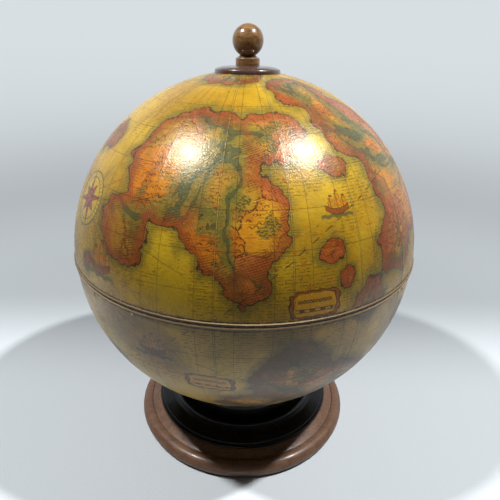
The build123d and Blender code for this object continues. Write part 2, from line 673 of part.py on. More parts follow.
PIECES = {
    "base_disc": base_disc,
    "base_felt": base_felt,
    "plinth": plinth,
    "base_screws": lambda: fastened(BASE_SCREW_PLACES, BASE_SCREW),
    "seat_felt": seat_felt,
    "centre_bolt": centre_bolt,
    "bolt_washer": bolt_washer,
    "nut_washer": nut_washer,
    "centre_nut": centre_nut,
    "bottle_rest": bottle_rest,
    "bowl_shell": bowl_shell,
    "bowl_rim": bowl_rim,
    "glass_deck": glass_deck,
    "glass_shelf": glass_shelf,
    "deck_blocks": deck_blocks,
    "shelf_blocks": shelf_blocks,
    "deck_screws": lambda: fastened(DECK_SCREW_PLACES, BOARD_SCREW),
    "shelf_screws": lambda: fastened(SHELF_SCREW_PLACES, BOARD_SCREW),
    "lid_shell": lid_shell,
    "lid_rim": lid_rim,
    "finial_disc": finial_disc,
    "finial_knob": finial_knob,
    "finial_stud": finial_stud,
    "finial_washer": finial_washer,
    "finial_nut": finial_nut,
    "hinge_leaf_bowl": hinge_leaf_bowl,
    "hinge_leaf_lid": hinge_leaf_lid,
    "hinge_pin": hinge_pin,
    "hinge_screws_bowl": lambda: fastened(BOWL_LEAF_SCREWS, HINGE_SCREW),
    "hinge_screws_lid": lambda: fastened(LID_LEAF_SCREWS, HINGE_SCREW),
    "stay_block_bowl": lambda: drilled(stay_block(DECK_Z + DECK_T, SEAM_Z - STAY_BLOCK_SEAM),
                                       BOWL_PLATE_SCREWS, PLATE_SCREW),
    "stay_block_lid": lambda: drilled(stay_block(SEAM_Z + STAY_BLOCK_SEAM, LID_FOOT_Z + LID_RIM_H),
                                      LID_PLATE_SCREWS, PLATE_SCREW),
    "stay_plate_bowl": lambda: drilled(stay_plate(BOWL_PIVOT), BOWL_PLATE_SCREWS, PLATE_SCREW),
    "stay_plate_lid": lambda: drilled(stay_plate(LID_PIVOT), LID_PLATE_SCREWS, PLATE_SCREW),
    "stay_screws_bowl": lambda: fastened(BOWL_PLATE_SCREWS, PLATE_SCREW),
    "stay_screws_lid": lambda: fastened(LID_PLATE_SCREWS, PLATE_SCREW),
    "stay_link_bowl": bowl_link,
    "stay_link_lid": lid_link,
    "stay_rivet_bowl": rivet_bowl,
    "stay_rivet_lid": rivet_lid,
    "stay_rivet_elbow": rivet_elbow,
}


def main():
    os.makedirs("parts", exist_ok=True)
    for name, make in PIECES.items():
        made = make()
        solids = made if isinstance(made, list) else [made]
        shape = Compound(children=solids) if len(solids) > 1 else solids[0]
        export_step(shape, f"parts/{name}.step")
    print(f"seam {SEAM_Z:.3f}  lid centre {LID_Z:.3f}  hinge y {HINGE_Y:.3f}")
    print(f"pivots y {PIVOT_Y:.3f}, elbow y {ELBOW_Y:.3f}, link plane x {LINK_X:.3f}")
    print(f"height {BALL_Z + BALL_R:.2f}")


main()
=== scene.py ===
"""Looks of the tabletop globe bar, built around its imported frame.

Lengths are metres and Z is up. The front is at -Y, and the lid's hinge is at the back, at +Y.
Longitude 0 faces the front and grows towards +X. Each group of pieces is made by an operator of
its own, and the panel in the 3D view's sidebar lists them.
"""

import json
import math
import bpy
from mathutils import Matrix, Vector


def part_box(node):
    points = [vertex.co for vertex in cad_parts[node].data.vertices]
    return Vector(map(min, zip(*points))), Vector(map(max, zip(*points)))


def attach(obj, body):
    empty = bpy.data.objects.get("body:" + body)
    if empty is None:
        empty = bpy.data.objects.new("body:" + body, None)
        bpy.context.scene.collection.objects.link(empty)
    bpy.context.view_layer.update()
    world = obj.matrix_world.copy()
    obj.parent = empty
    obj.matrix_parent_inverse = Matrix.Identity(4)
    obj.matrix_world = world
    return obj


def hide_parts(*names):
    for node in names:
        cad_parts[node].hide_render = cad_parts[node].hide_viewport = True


bl_info = {
    "name": "Globe Bar Dresser",
    "version": (1, 0, 0),
    "blender": (4, 5, 0),
    "location": "3D View > Sidebar > Globe Bar",
    "description": "Papered shells, turned wood, brass and a studio for a tabletop globe bar",
    "category": "Object",
}

from functools import reduce
from types import SimpleNamespace

import bmesh
import bpy
from bpy.props import FloatProperty, FloatVectorProperty, IntProperty, PointerProperty
from mathutils import Matrix, Vector

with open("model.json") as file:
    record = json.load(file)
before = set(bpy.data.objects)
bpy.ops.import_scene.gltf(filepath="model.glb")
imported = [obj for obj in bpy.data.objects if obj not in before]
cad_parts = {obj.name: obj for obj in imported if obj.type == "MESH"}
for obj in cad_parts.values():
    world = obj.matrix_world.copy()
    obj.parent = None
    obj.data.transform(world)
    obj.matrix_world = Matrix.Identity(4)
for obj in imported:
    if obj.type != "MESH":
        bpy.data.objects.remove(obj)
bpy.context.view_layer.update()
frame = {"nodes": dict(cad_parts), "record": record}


# ---- sizes read from the frame


def sphere_of(node, crown_up):
    """Centre height, radius and edge height of the sphere that a shell's box belongs to."""
    low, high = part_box(node)
    crown, edge = (high.z, low.z) if crown_up else (low.z, high.z)
    edge_radius = (high.x - low.x) / 2
    centre = (crown ** 2 - edge ** 2 - edge_radius ** 2) / (2 * (crown - edge))
    return centre, abs(crown - centre), edge


def half_width(node):
    low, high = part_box(node)
    return (high.x - low.x) / 2


# Play round the stud, and the share of the bolt head's width that its shaft takes
STUD_PLAY = 0.0002
SHAFT_OF_HEAD = 0.55
LID_CENTRE, LID_RADIUS, LID_EDGE = sphere_of("lid_shell", crown_up=True)
BOWL_CENTRE, BOWL_RADIUS, BOWL_EDGE = sphere_of("bowl_shell", crown_up=False)
SEAM = (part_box("bowl_rim")[1].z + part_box("lid_rim")[0].z) / 2
STUD_HOLE = half_width("finial_stud") + STUD_PLAY
BOLT_HOLE = half_width("centre_bolt") * SHAFT_OF_HEAD
SHELL_WALL = 0.0035


# ---- settings


def colour(name, value, note):
    return FloatVectorProperty(name=name, description=note, default=value, size=3, min=0, max=1,
                               subtype="COLOR")


def length(name, value, note):
    return FloatProperty(name=name, description=note, default=value, min=0, unit="LENGTH",
                         precision=4)


def angle(name, value, note):
    return FloatProperty(name=name, description=note, default=math.radians(value),
                         subtype="ANGLE")


class GlobePaper(bpy.types.PropertyGroup):
    """The papered shells: how the gores are laid and what they are printed with."""
    gores: IntProperty(name="Gores", description="Paper gores round each shell", default=18, min=6)
    lap_width: length("Lap width", 0.0022, "Width of the lap of one gore over the next")
    lap_rise: length("Lap rise", 0.00009, "Height of a gore's lapped edge")
    sea: colour("Sea", (0.60, 0.385, 0.018), "Varnished sea")
    sea_deep: colour("Deep sea", (0.38, 0.208, 0.009), "Browner patches of the sea")
    land: colour("Land", (0.54, 0.175, 0.010), "Orange wash of the land")
    land_pale: colour("Pale land", (0.60, 0.290, 0.016), "Amber wash of the land")
    olive: colour("Olive", (0.150, 0.138, 0.026), "Green wash of coasts, valleys and hills")
    rust: colour("Rust", (0.27, 0.055, 0.013), "Red-brown edging inside the coasts")
    ink: colour("Ink", (0.030, 0.017, 0.009), "Engraved lines")
    crimson: colour("Crimson", (0.33, 0.050, 0.022), "Points of the compass rose and the pennants")
    teal: colour("Teal", (0.075, 0.085, 0.030), "Water under the ships, rivers and rings")
    rose: colour("Rose", (0.50, 0.130, 0.045), "Pink wash of some realms")
    paper: colour("Paper", (0.60, 0.46, 0.20), "Bare paper at laps and chafed edges")
    # The colour that a shell's print is greyed towards, as far as its fade says
    fog: colour("Fog", (0.300, 0.225, 0.155), "Grime that greys the bowl's print")
    lining: colour("Lining", (0.42, 0.30, 0.16), "Paper inside the shells")


class GlobeTimber(bpy.types.PropertyGroup):
    """The woods and lacquer."""
    walnut_light: colour("Light walnut", (0.170, 0.084, 0.043), "Early wood of the base")
    walnut_dark: colour("Dark walnut", (0.075, 0.032, 0.018), "Late wood of the base")
    knob_light: colour("Light knob", (0.280, 0.145, 0.048), "Early wood of the knob")
    knob_dark: colour("Dark knob", (0.075, 0.034, 0.014), "Late wood of the knob")
    disc_light: colour("Light disc", (0.085, 0.043, 0.030), "Early wood of the disc")
    disc_dark: colour("Dark disc", (0.036, 0.017, 0.012), "Late wood of the disc")
    hoop_light: colour("Light hoop", (0.430, 0.300, 0.160), "Early wood of the rims")
    hoop_dark: colour("Dark hoop", (0.260, 0.160, 0.070), "Late wood of the rims")
    # Stain on the beads' outside faces, which also stands in as painted shade there
    hoop_stain: colour("Hoop stain", (0.032, 0.015, 0.004), "Stain in the beads' hollows")
    # Pale line on the lid's bead: rubbed wood, and a painted highlight along its crest
    hoop_rubbed_highlight: colour("Bare hoop", (0.240, 0.172, 0.092), "Rubbed wood on the lid's bead")
    # Pale line on the bowl's bead: a painted highlight along its crest
    hoop_painted_highlight: colour("Pale hoop", (0.860, 0.590, 0.310), "Cleaner wood on the bowl's bead")
    board_light: colour("Light veneer", (0.240, 0.115, 0.050), "Early wood of the boards")
    board_dark: colour("Dark veneer", (0.110, 0.045, 0.018), "Late wood of the boards")
    plain_light: colour("Light blocks", (0.470, 0.330, 0.180), "Early wood of glued blocks")
    plain_dark: colour("Dark blocks", (0.330, 0.210, 0.100), "Late wood of glued blocks")
    lacquer: colour("Lacquer", (0.0022, 0.0020, 0.0020), "Black lacquer of the plinth")


class GlobeStudio(bpy.types.PropertyGroup):
    """Camera, lamps and sweep."""
    distance: length("Camera distance", 0.4719, "From the lid's centre to the camera")
    elevation: angle("Elevation", 22.828, "Height of the camera over the lid's centre")
    pan: angle("Pan", -0.6606, "Turn of the camera away from the centre")
    tilt: angle("Tilt", 1.1567, "Nod of the camera away from the centre")
    roll: angle("Roll", 0.9107, "Lean of the camera")
    field: angle("Field of view", 57.577, "Across the picture")
    lamp_size: length("Lamp size", 0.11, "Diameter of each lamp's diffuser")
    left_power: FloatProperty(name="Left lamp", description="Power", default=32.0, unit="POWER")
    right_power: FloatProperty(name="Right lamp", description="Power", default=56.0, unit="POWER")
    sky: FloatProperty(name="Room light", description="Even light from behind", default=0.07)
    dusk: FloatProperty(name="Front light", description="Even light from the front", default=0.02)
    glow: FloatProperty(name="Sweep glow", description="Brightness of the far sweep", default=0.80)
    cloth: colour("Sweep", (0.61, 0.665, 0.71), "Pale floor and backdrop")
    bounce: colour("Bounce", (0.54, 0.51, 0.47), "Share of its light that the sweep throws back")
    air: colour("Room", (0.80, 0.86, 0.90), "Tint of the even light")


def paper():
    return bpy.context.scene.globe_paper


def timber():
    return bpy.context.scene.globe_timber


def studio():
    return bpy.context.scene.globe_studio


# ---- node trees written as formulas


SOCKETS = {"VALUE": "NodeSocketFloat", "VECTOR": "NodeSocketVector", "RGBA": "NodeSocketColor"}
LINE_BLUR = 0.45


def symbol(operation, swapped=False):
    """A method that works out an operation of a wire and whatever stands on its other side."""
    def method(*values):
        return calc(operation, *(reversed(values) if swapped else values))

    return method


class Wire:
    """What a node puts out, for use in a formula."""

    def __init__(self, socket):
        self.socket = socket
        self.tree = socket.id_data

    __add__ = __radd__ = symbol("ADD")
    __sub__ = symbol("SUBTRACT")
    __rsub__ = symbol("SUBTRACT", swapped=True)
    __mul__ = __rmul__ = symbol("MULTIPLY")
    __truediv__ = symbol("DIVIDE")
    __rtruediv__ = symbol("DIVIDE", swapped=True)
    __abs__ = symbol("ABSOLUTE")
    __lt__ = symbol("LESS_THAN")
    __gt__ = symbol("GREATER_THAN")


def add_node(tree, kind, **settings):
    made = tree.nodes.new(kind)
    for name, value in settings.items():
        setattr(made, name, value)
    return made


def feed(socket, value):
    """Gives a socket a wire or a constant."""
    if isinstance(value, Wire):
        value.tree.links.new(value.socket, socket)
    else:
        socket.default_value = (*value, 1.0) if socket.type == "RGBA" else value


def combine(kind, values, put_out=0, **settings):
    """Adds a node to the wires' tree and feeds it with values, by place or by name."""
    places = values if isinstance(values, dict) else dict(enumerate(values))
    tree = next(value.tree for value in places.values() if isinstance(value, Wire))
    made = add_node(tree, kind, **settings)
    for place, value in places.items():
        feed(made.inputs[place], value)
    return Wire(made.outputs[put_out])


def calc(operation, *values, clamp=False):
    return combine("ShaderNodeMath", values, operation=operation, use_clamp=clamp)


def highest(*values):
    return reduce(lambda top, value: calc("MAXIMUM", top, value), values)


def lowest(*values):
    return reduce(lambda bottom, value: calc("MINIMUM", bottom, value), values)


def cosine(value):
    return calc("COSINE", value)


def reach_of(x, y):
    return calc("SQRT", x * x + y * y)


def aim(operation, *values):
    return combine("ShaderNodeVectorMath", values, "Vector", operation=operation)


def dot(first, second):
    return combine("ShaderNodeVectorMath", (first, second), "Value", operation="DOT_PRODUCT")


def nudged(vector, tint, size):
    """The vector, shifted by up to half of size in each direction by a colour noise."""
    centred = aim("SUBTRACT", tint, (0.5, 0.5, 0.5))
    shift = combine("ShaderNodeVectorMath", {0: centred, "Scale": size}, "Vector",
                    operation="SCALE")
    return aim("ADD", vector, shift)


def split(vector):
    made = add_node(vector.tree, "ShaderNodeSeparateXYZ")
    feed(made.inputs[0], vector)
    return [Wire(socket) for socket in made.outputs]


def join(x, y, z):
    return combine("ShaderNodeCombineXYZ", (x, y, z))


def smooth(value, low, high):
    """0 where the value is at low and 1 where it is at high, with a soft passage."""
    return combine("ShaderNodeMapRange", (value, low, high), interpolation_type="SMOOTHSTEP")


def stroke(distance, half):
    """1 on a line of that half width, from the distance to its middle."""
    return 1.0 - smooth(abs(distance), half * (1 - LINE_BLUR), half * (1 + LINE_BLUR))


def lines(value, half):
    """1 on lines of that half width, halfway between the whole numbers of the value."""
    return stroke(calc("FRACT", value) - 0.5, half)


def mix(share, first, second, mode="MIX"):
    """Second colour over the first by the share."""
    return combine("ShaderNodeMix", {0: share, 6: first, 7: second}, 2, data_type="RGBA",
                   blend_type=mode)


def darkened(share, colour_now, tint):
    """The colour, multiplied by a tint as far as the share says."""
    return mix(share, colour_now, mix(1.0, colour_now, tint, "MULTIPLY"))


def noise(vector, scale, detail=2.0, roughness=0.5, distortion=0.0, put_out="Fac"):
    return combine("ShaderNodeTexNoise", {
        "Vector": vector, "Scale": scale, "Detail": detail, "Roughness": roughness,
        "Distortion": distortion}, put_out)


def stretched_noise(x, y, z, *shape):
    """Noise over coordinates that are already scaled."""
    return noise(join(x, y, z), 1.0, *shape)


def cells(vector, scale, put_out="Distance", feature="F1", scatter=1.0):
    return combine("ShaderNodeTexVoronoi", {
        "Vector": vector, "Scale": scale, "Randomness": scatter}, put_out, feature=feature)


def coordinate(tree, kind="Object"):
    """A point's place on the object, or another texture coordinate."""
    return Wire(add_node(tree, "ShaderNodeTexCoord").outputs[kind])


def light_path(tree, kind):
    return Wire(add_node(tree, "ShaderNodeLightPath").outputs[kind])


def label_of(key):
    return key.replace("_", " ").title()


def key_of(label):
    return label.replace(" ", "_").lower()


def node_group(name, **takes):
    """Makes a recipe into a shader node group, which is built when it is first used.

    takes holds each input's default: a number, a colour, or None for a vector. A call adds the
    group to a tree, feeds it, and hands back the wires that the recipe returns, by their names.
    """
    def build(recipe):
        tree = bpy.data.node_groups.new(name, "ShaderNodeTree")
        for key, default in takes.items():
            kind = {type(None): "VECTOR", float: "VALUE"}.get(type(default), "RGBA")
            socket = tree.interface.new_socket(label_of(key), in_out="INPUT",
                                               socket_type=SOCKETS[kind])
            if default is not None:
                socket.default_value = (*default, 1.0) if kind == "RGBA" else default
        entry = add_node(tree, "NodeGroupInput")
        made = recipe(tree, **{key: Wire(entry.outputs[label_of(key)]) for key in takes})
        for key, wire in made.items():
            tree.interface.new_socket(label_of(key), in_out="OUTPUT",
                                      socket_type=SOCKETS[wire.socket.type])
        leave = add_node(tree, "NodeGroupOutput")
        for key, wire in made.items():
            feed(leave.inputs[label_of(key)], wire)
        return tree

    def decorate(recipe):
        def use(tree, **values):
            group = bpy.data.node_groups.get(name) or build(recipe)
            made = add_node(tree, "ShaderNodeGroup", node_tree=group)
            for key, value in values.items():
                feed(made.inputs[label_of(key)], value)
            return SimpleNamespace(**{key_of(socket.name): Wire(socket)
                                      for socket in made.outputs})
        return use

    return decorate


# ---- the print on the shells


DEGREE = math.radians(1)
FIRST_SEAM = math.radians(12.5)
GORE_ERROR = 0.010

# Lands as round patches (longitude, latitude, radius in degrees), joined and made ragged
LANDS = [
    (-20, 41, 17), (-3, 27, 14), (-36, 22, 9), (9, 50, 9), (2, 12, 6),
    (66, 33, 18), (52, 52, 13), (84, 12, 14), (40, 66, 9), (50, 17, 10), (36, 4, 6),
    (23, 18, 3.0), (27, 11, 2.0), (30, 40, 3.4), (-66, 44, 5), (-52, 8, 2.5),
    (14, -19, 12), (30, -31, 14), (3, -36, 9), (-48, -24, 5), (72, -24, 13), (58, -12, 5),
    (140, 28, 26), (178, 48, 18), (-138, 22, 20), (-112, 40, 13), (-96, -14, 12),
    (160, -22, 15), (-150, -24, 14), (118, -34, 10), (-20, 78, 8), (150, 74, 9),
]
COAST_WARP = 0.20
COAST_JOIN = 0.05
BAY_DEPTH = 0.13

# Ornaments: longitude, latitude and size in degrees
ROSES = [(-58, 25, 7.6), (112, 4, 7.6)]
ROSE_TURN = 14.0
SHIPS = [(-44, 9.5, 5.4), (27, 29, 3.6), (-26, -12, 4.6), (112, 24, 5.0), (-170, 6, 5.0),
         (-78, -12, 4.5)]
SCALE_BARS = [(18, 6.2, 7.0), (-92, 14, 8.0), (-10, -22, 7.0)]

GRID_STEP = 10 * DEGREE
GRID_LINE = 0.0016
FIRST_MERIDIAN = 0.25
TROPICS = (23.5, -23.5)
RING_AXES = ((0.34, -0.30, 0.89), (-0.62, 0.12, 0.775))

# Noises over the whole print: scale, detail, roughness and distortion
NOISES = {
    "blot": (2.3, 3.0, 0.55), "grain": (46.0, 4.0, 0.65), "fine": (170.0, 2.0, 0.6),
    "tide": (6.5, 6.0, 0.62), "flocks": (5.5,), "worked": (4.1, 3.0), "shoals": (8.0, 3.0),
    "islets": (30.0, 4.0, 0.6), "belt": (3.1,), "patch": (3.7, 4.0, 0.6), "dots": (90.0, 1.0),
    "ridge": (2.6, 4.0, 0.5, 0.6), "thicket": (7.5, 3.0), "valley": (1.55, 5.0, 0.52, 0.9),
    "comb": (12.0,), "stain": (1.4, 5.0),
}
# Engraved signs over the whole print
SIGNS = {
    "waves": dict(scale=44.0, flatness=2.4, line=0.055, shade=0.0), "hills": dict(scale=31.0),
    "bushes": dict(scale=62.0, flatness=0.8, line=0.10),
}
# Fine marks: rows to a radian, then signs and realms to a radius, then a river's bank in noise
WAVE_ROWS = 68.0
WAVE_LENGTHS = 34.0
SHORE_ROWS = 95.0
TOOTH_ROWS = 62.0
COMB_ROWS = 88.0
SOUNDINGS = 110.0
REALMS = 4.2
TOWNS = 30.0
RIVER_BANK = 0.0110
INKS = ("sea", "sea_deep", "land", "land_pale", "olive", "rust", "ink", "crimson", "teal", "rose",
        "paper", "fog")
BLACK = (0.0, 0.0, 0.0)


def on_globe(longitude, latitude):
    """Outward direction of a place on the globe, given in degrees."""
    east, north = math.radians(longitude), math.radians(latitude)
    return Vector((math.sin(east) * math.cos(north), -math.cos(east) * math.cos(north),
                   math.sin(north)))


def near_place(direction, longitude, latitude, size, turn=0.0):
    """Flat coordinates round a place, in units of size degrees, and 1 on its side of the globe."""
    out, east = on_globe(longitude, latitude), math.radians(longitude)
    right = Vector((math.cos(east), math.sin(east), 0))
    twist = Matrix.Rotation(math.radians(turn), 3, out)
    unit = 1 / (size * DEGREE)
    x, y = (dot(direction, twist @ axis) * unit for axis in (right, out.cross(right)))
    return x, y, dot(direction, out) > 0.5


@node_group("Print place", centre_height=0.2)
def print_place(tree, centre_height):
    """Where a point lies on the print: each gore is laid with its own small error."""
    centre = join(0.0, 0.0, centre_height)
    out = aim("NORMALIZE", aim("SUBTRACT", coordinate(tree), centre))
    x, y, z = split(out)
    longitude = calc("ARCTAN2", x, 0.0 - y)
    latitude = calc("ARCSINE", z)
    gore_angle = math.tau / paper().gores
    gore = (longitude - FIRST_SEAM) / gore_angle
    number = calc("FLOOR", gore)
    seam = (0.5 - abs(gore - number - 0.5)) * (cosine(latitude) * gore_angle)
    chance, tint = (combine("ShaderNodeTexWhiteNoise", {"W": number}, put_out,
                            noise_dimensions="1D") for put_out in ("Value", "Color"))
    return {"direction": aim("NORMALIZE", nudged(out, tint, GORE_ERROR)),
            "longitude": longitude, "latitude": latitude, "seam": seam, "gore": chance}


@node_group("Coastline", direction=None)
def coastline(tree, direction):
    """How far a place is inside a coast, as an angle: positive on land and negative at sea."""
    ragged = noise(direction, 3.2, 9.0, 0.62, put_out="Color")
    bent = aim("NORMALIZE", nudged(direction, ragged, COAST_WARP))
    patches = []
    for longitude, latitude, radius in LANDS:
        slope = 1 / math.sin(math.radians(radius))
        patches.append(calc("MULTIPLY_ADD", dot(bent, on_globe(longitude, latitude)), slope,
                            -math.cos(math.radians(radius)) * slope))
    land = reduce(lambda merged, patch: calc("SMOOTH_MAX", merged, patch, COAST_JOIN), patches)
    bays = noise(direction, 9.0, 5.0, 0.55) - 0.5
    return {"inland": land + bays * BAY_DEPTH}


@node_group("Hill signs", direction=None, scale=30.0, flatness=1.0, line=0.06, shade=1.0)
def hill_signs(tree, direction, scale, flatness, line, shade):
    """Small engraved hills with a shaded side, or low waves: arches scattered over the globe."""
    offset = aim("SUBTRACT", direction, cells(direction, scale, "Position", scatter=0.8))
    east = aim("NORMALIZE", aim("CROSS_PRODUCT", (0, 0, 1), direction))
    north = aim("CROSS_PRODUCT", direction, east)
    x = dot(offset, east) * scale
    y = dot(offset, north) * scale + 0.12
    reach = calc("SQRT", x * x + y * y * flatness * flatness)
    above = y > 0.0
    side = (reach < 0.30) * above * (x > 0.06)
    hatch = lines((x + y) * 9.0, 0.22)
    return {"ink": highest(stroke(reach - 0.30, line) * above, side * hatch * shade)}


@node_group("Compass rose", x=0.0, y=0.0)
def compass_rose(tree, x, y):
    """An eight-pointed star in rings, with a dark half to each long point, and rays beyond."""
    reach = reach_of(x, y)
    turn = calc("ARCTAN2", x, y)
    half = math.pi / 4

    def star(outer, inner, start):
        """Where four points lie, which half of each is light, and their outlines."""
        folded = calc("WRAP", turn + start, half, -half)
        along = reach * cosine(abs(folded))
        aside = reach * calc("SINE", abs(folded))
        run = (inner * math.cos(half) - outer, inner * math.sin(half))
        beyond = (along - outer) * run[1] - aside * run[0]
        return beyond < 0.0, folded > 0.0, stroke(beyond, 0.012) * (reach < outer)

    long_star, light_side, long_edge = star(0.98, 0.20, 0.0)
    short_star, _, short_edge = star(0.66, 0.26, half)
    dark_side = (1.0 - light_side) * long_star
    outer_ring, middle_ring, inner_ring = (
        stroke(reach - size, width) for size, width in
        ((1.02, 0.030), (0.80, 0.022), (0.34, 0.020)))
    band = lines(turn * (36 / math.tau), 0.16) * (reach > 0.84) * (reach < 0.98)
    rays = stroke(calc("SINE", turn * 8.0) * reach / 8.0, 0.022)
    return {"points": highest(long_star, short_star * (1.0 - long_star)),
            "ink": highest(long_edge, short_edge, dark_side * 0.75, inner_ring, band * 0.8),
            "rings": highest(outer_ring, middle_ring), "field": reach < 1.02,
            "rays": rays * (reach > 1.04) * (reach < 5.0)}


@node_group("Little ship", x=0.0, y=0.0)
def little_ship(tree, x, y):
    """A three-masted ship on a strip of water, in coordinates where it is two units long."""
    hull = lowest(x * x * 0.30 + 0.02 - y, y + 0.42 - x * x * 0.42, 0.95 - abs(x + 0.03))
    rail = lowest(x * x * 0.30 - 0.08 - y, y + 0.20 - x * x * 0.20, 0.9 - abs(x))
    masts, sails, flags = [], [], []
    for foot, top in ((-0.52, 0.86), (0.02, 1.18), (0.52, 0.80)):
        masts.append(lowest(0.028 - abs(x - foot), y, top - y))
        for low, high, half in ((0.16, 0.52 * top, 0.25), (0.58 * top, 0.90 * top, 0.18)):
            middle, reach = (low + high) / 2, (high - low) / 2
            rise = (y - middle) / reach
            belly = (1.0 - rise * rise) * 0.09
            sails.append(lowest((1.0 - rise * rise) * reach,
                                half - rise * 0.04 - abs(x - foot - belly)))
        flags.append(lowest(top + 0.13 - y, y - top, x - foot,
                            0.24 - (x - foot) - (y - top) * 0.6))
    mast, sail, flag = highest(*masts), highest(*sails), highest(*flags)
    edges = [stroke(part, 0.022) for part in (hull, sail, flag)]
    in_hull = hull > 0.0
    planks = lines(y * 11.0, 0.20) * in_hull
    ripple = calc("SINE", x * 9.0) * 0.03
    water = lowest(ripple - 0.30 - y, y + 0.62 - ripple * 2.0, 1.35 - abs(x + 0.1))
    return {"hull": highest(in_hull, rail > 0.0), "sail": sail > 0.0, "flag": flag > 0.0,
            "water": smooth(water, 0.0, 0.06),
            "ink": highest(*edges, mast > 0.0, planks * 0.7)}


@node_group("Scale panel", x=0.0, y=0.0)
def scale_panel(tree, x, y):
    """A framed panel with a scale bar and a row of curls, in coordinates where it is two wide."""
    scroll = calc("SINE", (x + y) * 14.0) * 0.03
    side, rise = (calc("POWER", part + scroll, 5.0) for part in (abs(x), abs(y) * 1.9))
    reach = calc("POWER", side + rise, 0.2)
    bar = (abs(y + 0.22) < 0.045) * (abs(x) < 0.72)
    bar_edge = stroke(abs(y + 0.22) - 0.055, 0.018) * (abs(x) < 0.74)
    curl = calc("SINE", x * 26.0) * 0.05
    lace = stroke(y - 0.13 - curl, 0.030) * (abs(x) < 0.66)
    lace_back = stroke(y - 0.13 + curl, 0.024) * (abs(x) < 0.66)
    frames = highest(stroke(reach - 0.98, 0.030), stroke(reach - 0.84, 0.020))
    checks = calc("FRACT", x * 2.5) > 0.5
    return {"panel": reach < 0.98, "frame": (reach < 0.98) * (reach > 0.84),
            "ink": highest(frames, bar * checks, bar_edge, lace, lace_back)}


class Sheet:
    """Paper that is printed wash by wash."""

    def __init__(self, colour_now, inks):
        self.colour = colour_now
        self.inks = inks

    def wash(self, ink, share, strength):
        """Lays a transparent ink over the colour."""
        self.colour = mix(share * strength, self.colour, self.inks[ink])


def print_sea(at, inks):
    """Sea: browner in patches, with waves, soundings, islets and a hatched shore."""
    sea = Sheet(mix(smooth(at.blot, 0.34, 0.64), inks["sea"], inks["sea_deep"]), inks)
    sea.wash("olive", smooth(at.tide, 0.50, 0.72), 0.30)
    sea.wash("land", smooth(at.tide, 0.46, 0.28), 0.30)
    sea.wash("ink", at.waves * smooth(at.flocks, 0.50, 0.56), 0.50)
    sea.wash("ink", at.dashes * smooth(at.worked, 0.44, 0.50), 0.46)
    soundings = smooth(cells(at.direction, SOUNDINGS), 0.16, 0.10)
    sea.wash("ink", soundings * smooth(at.shoals, 0.50, 0.58), 0.55)
    height = at.islets + smooth(at.belt, 0.56, 0.66) * 0.06
    sea.wash("rust", smooth(height, 0.700, 0.715), 0.75)
    sea.wash("land", smooth(height, 0.720, 0.735), 0.75)
    sea.wash("ink", stroke(height - 0.705, 0.010), 0.7)
    sea.wash("olive", smooth(at.inland, -0.070, 0.0), 0.62)
    shore = smooth(at.inland, -0.055, -0.006) * at.at_sea
    sea.wash("ink", shore * lines(at.latitude * SHORE_ROWS, 0.20), 0.38)
    return sea.colour


def print_land(at, inks):
    """Land: orange and amber realms with hills, valleys, towns and a rust-red coast."""
    wander = nudged(at.direction, noise(at.direction, 6.0, 4.0, put_out="Color"), 0.16)
    realm = split(cells(wander, REALMS, "Color"))
    border = cells(wander, REALMS, "Distance", "DISTANCE_TO_EDGE")
    land = Sheet(mix(smooth(at.patch + realm[0] * 0.30, 0.42, 0.82), inks["land"],
                     inks["land_pale"]), inks)
    land.wash("olive", smooth(realm[1], 0.62, 0.72), 0.42)
    land.wash("rose", smooth(realm[2], 0.66, 0.74), 0.60)
    land.wash("rust", smooth(border, 0.030, 0.0), 0.38)
    land.wash("ink", stroke(border, 0.011) * smooth(at.dots, 0.42, 0.50), 0.8)
    ridge = abs(at.ridge - 0.5)
    land.wash("rust", smooth(ridge, 0.045, 0.010), 0.42)
    land.wash("ink", at.hills * smooth(ridge, 0.085, 0.060), 0.85)
    land.wash("ink", at.dashes * smooth(at.worked, 0.52, 0.47), 0.42)
    thicket = smooth(at.thicket, 0.585, 0.63)
    land.wash("olive", thicket, 0.62)
    land.wash("ink", at.bushes * thicket, 0.85)

    # valleys: broad olive bands with a dark river between its banks, and towns
    valley = abs(at.valley - 0.47)
    land.wash("olive", smooth(valley, 0.070, 0.022), 0.74)
    land.wash("teal", smooth(valley, 0.0120, 0.0070), 0.92)
    land.wash("ink", stroke(valley - RIVER_BANK, 0.0014), 0.75)
    towns = cells(at.direction, TOWNS)
    land.wash("ink", stroke(towns - 0.105, 0.022), 0.8)
    land.wash("crimson", smooth(towns, 0.05, 0.03), 0.9)

    # coast: a red wash, with teeth and a comb of fine lines along its inside
    land.wash("rust", smooth(at.inland, 0.075, 0.0), 0.80)
    teeth = lines((at.longitude + at.latitude * 0.6) * TOOTH_ROWS, 0.16) \
        * smooth(at.inland, 0.052, 0.040) * smooth(at.grain, 0.35, 0.5)
    land.wash("rust", teeth, 0.7)
    comb = lines((at.latitude - at.longitude * 0.3) * COMB_ROWS, 0.20) \
        * smooth(at.inland, 0.085, 0.070) * smooth(at.inland, 0.004, 0.012)
    land.wash("ink", comb * smooth(at.comb, 0.48, 0.54), 0.50)
    return land.colour


def print_grid(sheet, at):
    """Meridians and parallels, the tropics and two rings that lean."""
    def to_grid(value, shift):
        near = (calc("FRACT", value / GRID_STEP + shift) - 0.5) * GRID_STEP
        return 0.5 * GRID_STEP - abs(near)

    for gap in (to_grid(at.longitude, FIRST_MERIDIAN) * cosine(at.latitude),
                to_grid(at.latitude, 0.0)):
        sheet.wash("ink", stroke(gap, GRID_LINE), 0.50)
    for tropic in TROPICS:
        dash = smooth(calc("SINE", at.longitude * 60.0), -0.2, 0.2)
        sheet.wash("rust", stroke(at.latitude - tropic * DEGREE, 0.0020) * dash, 0.65)
    for axis in RING_AXES:
        off_ring = calc("ARCSINE", dot(at.direction, Vector(axis).normalized()))
        dash = smooth(calc("SINE", (at.longitude + at.latitude) * 55.0), -0.3, 0.1)
        sheet.wash("ink", stroke(off_ring, 0.0024) * dash, 0.75)


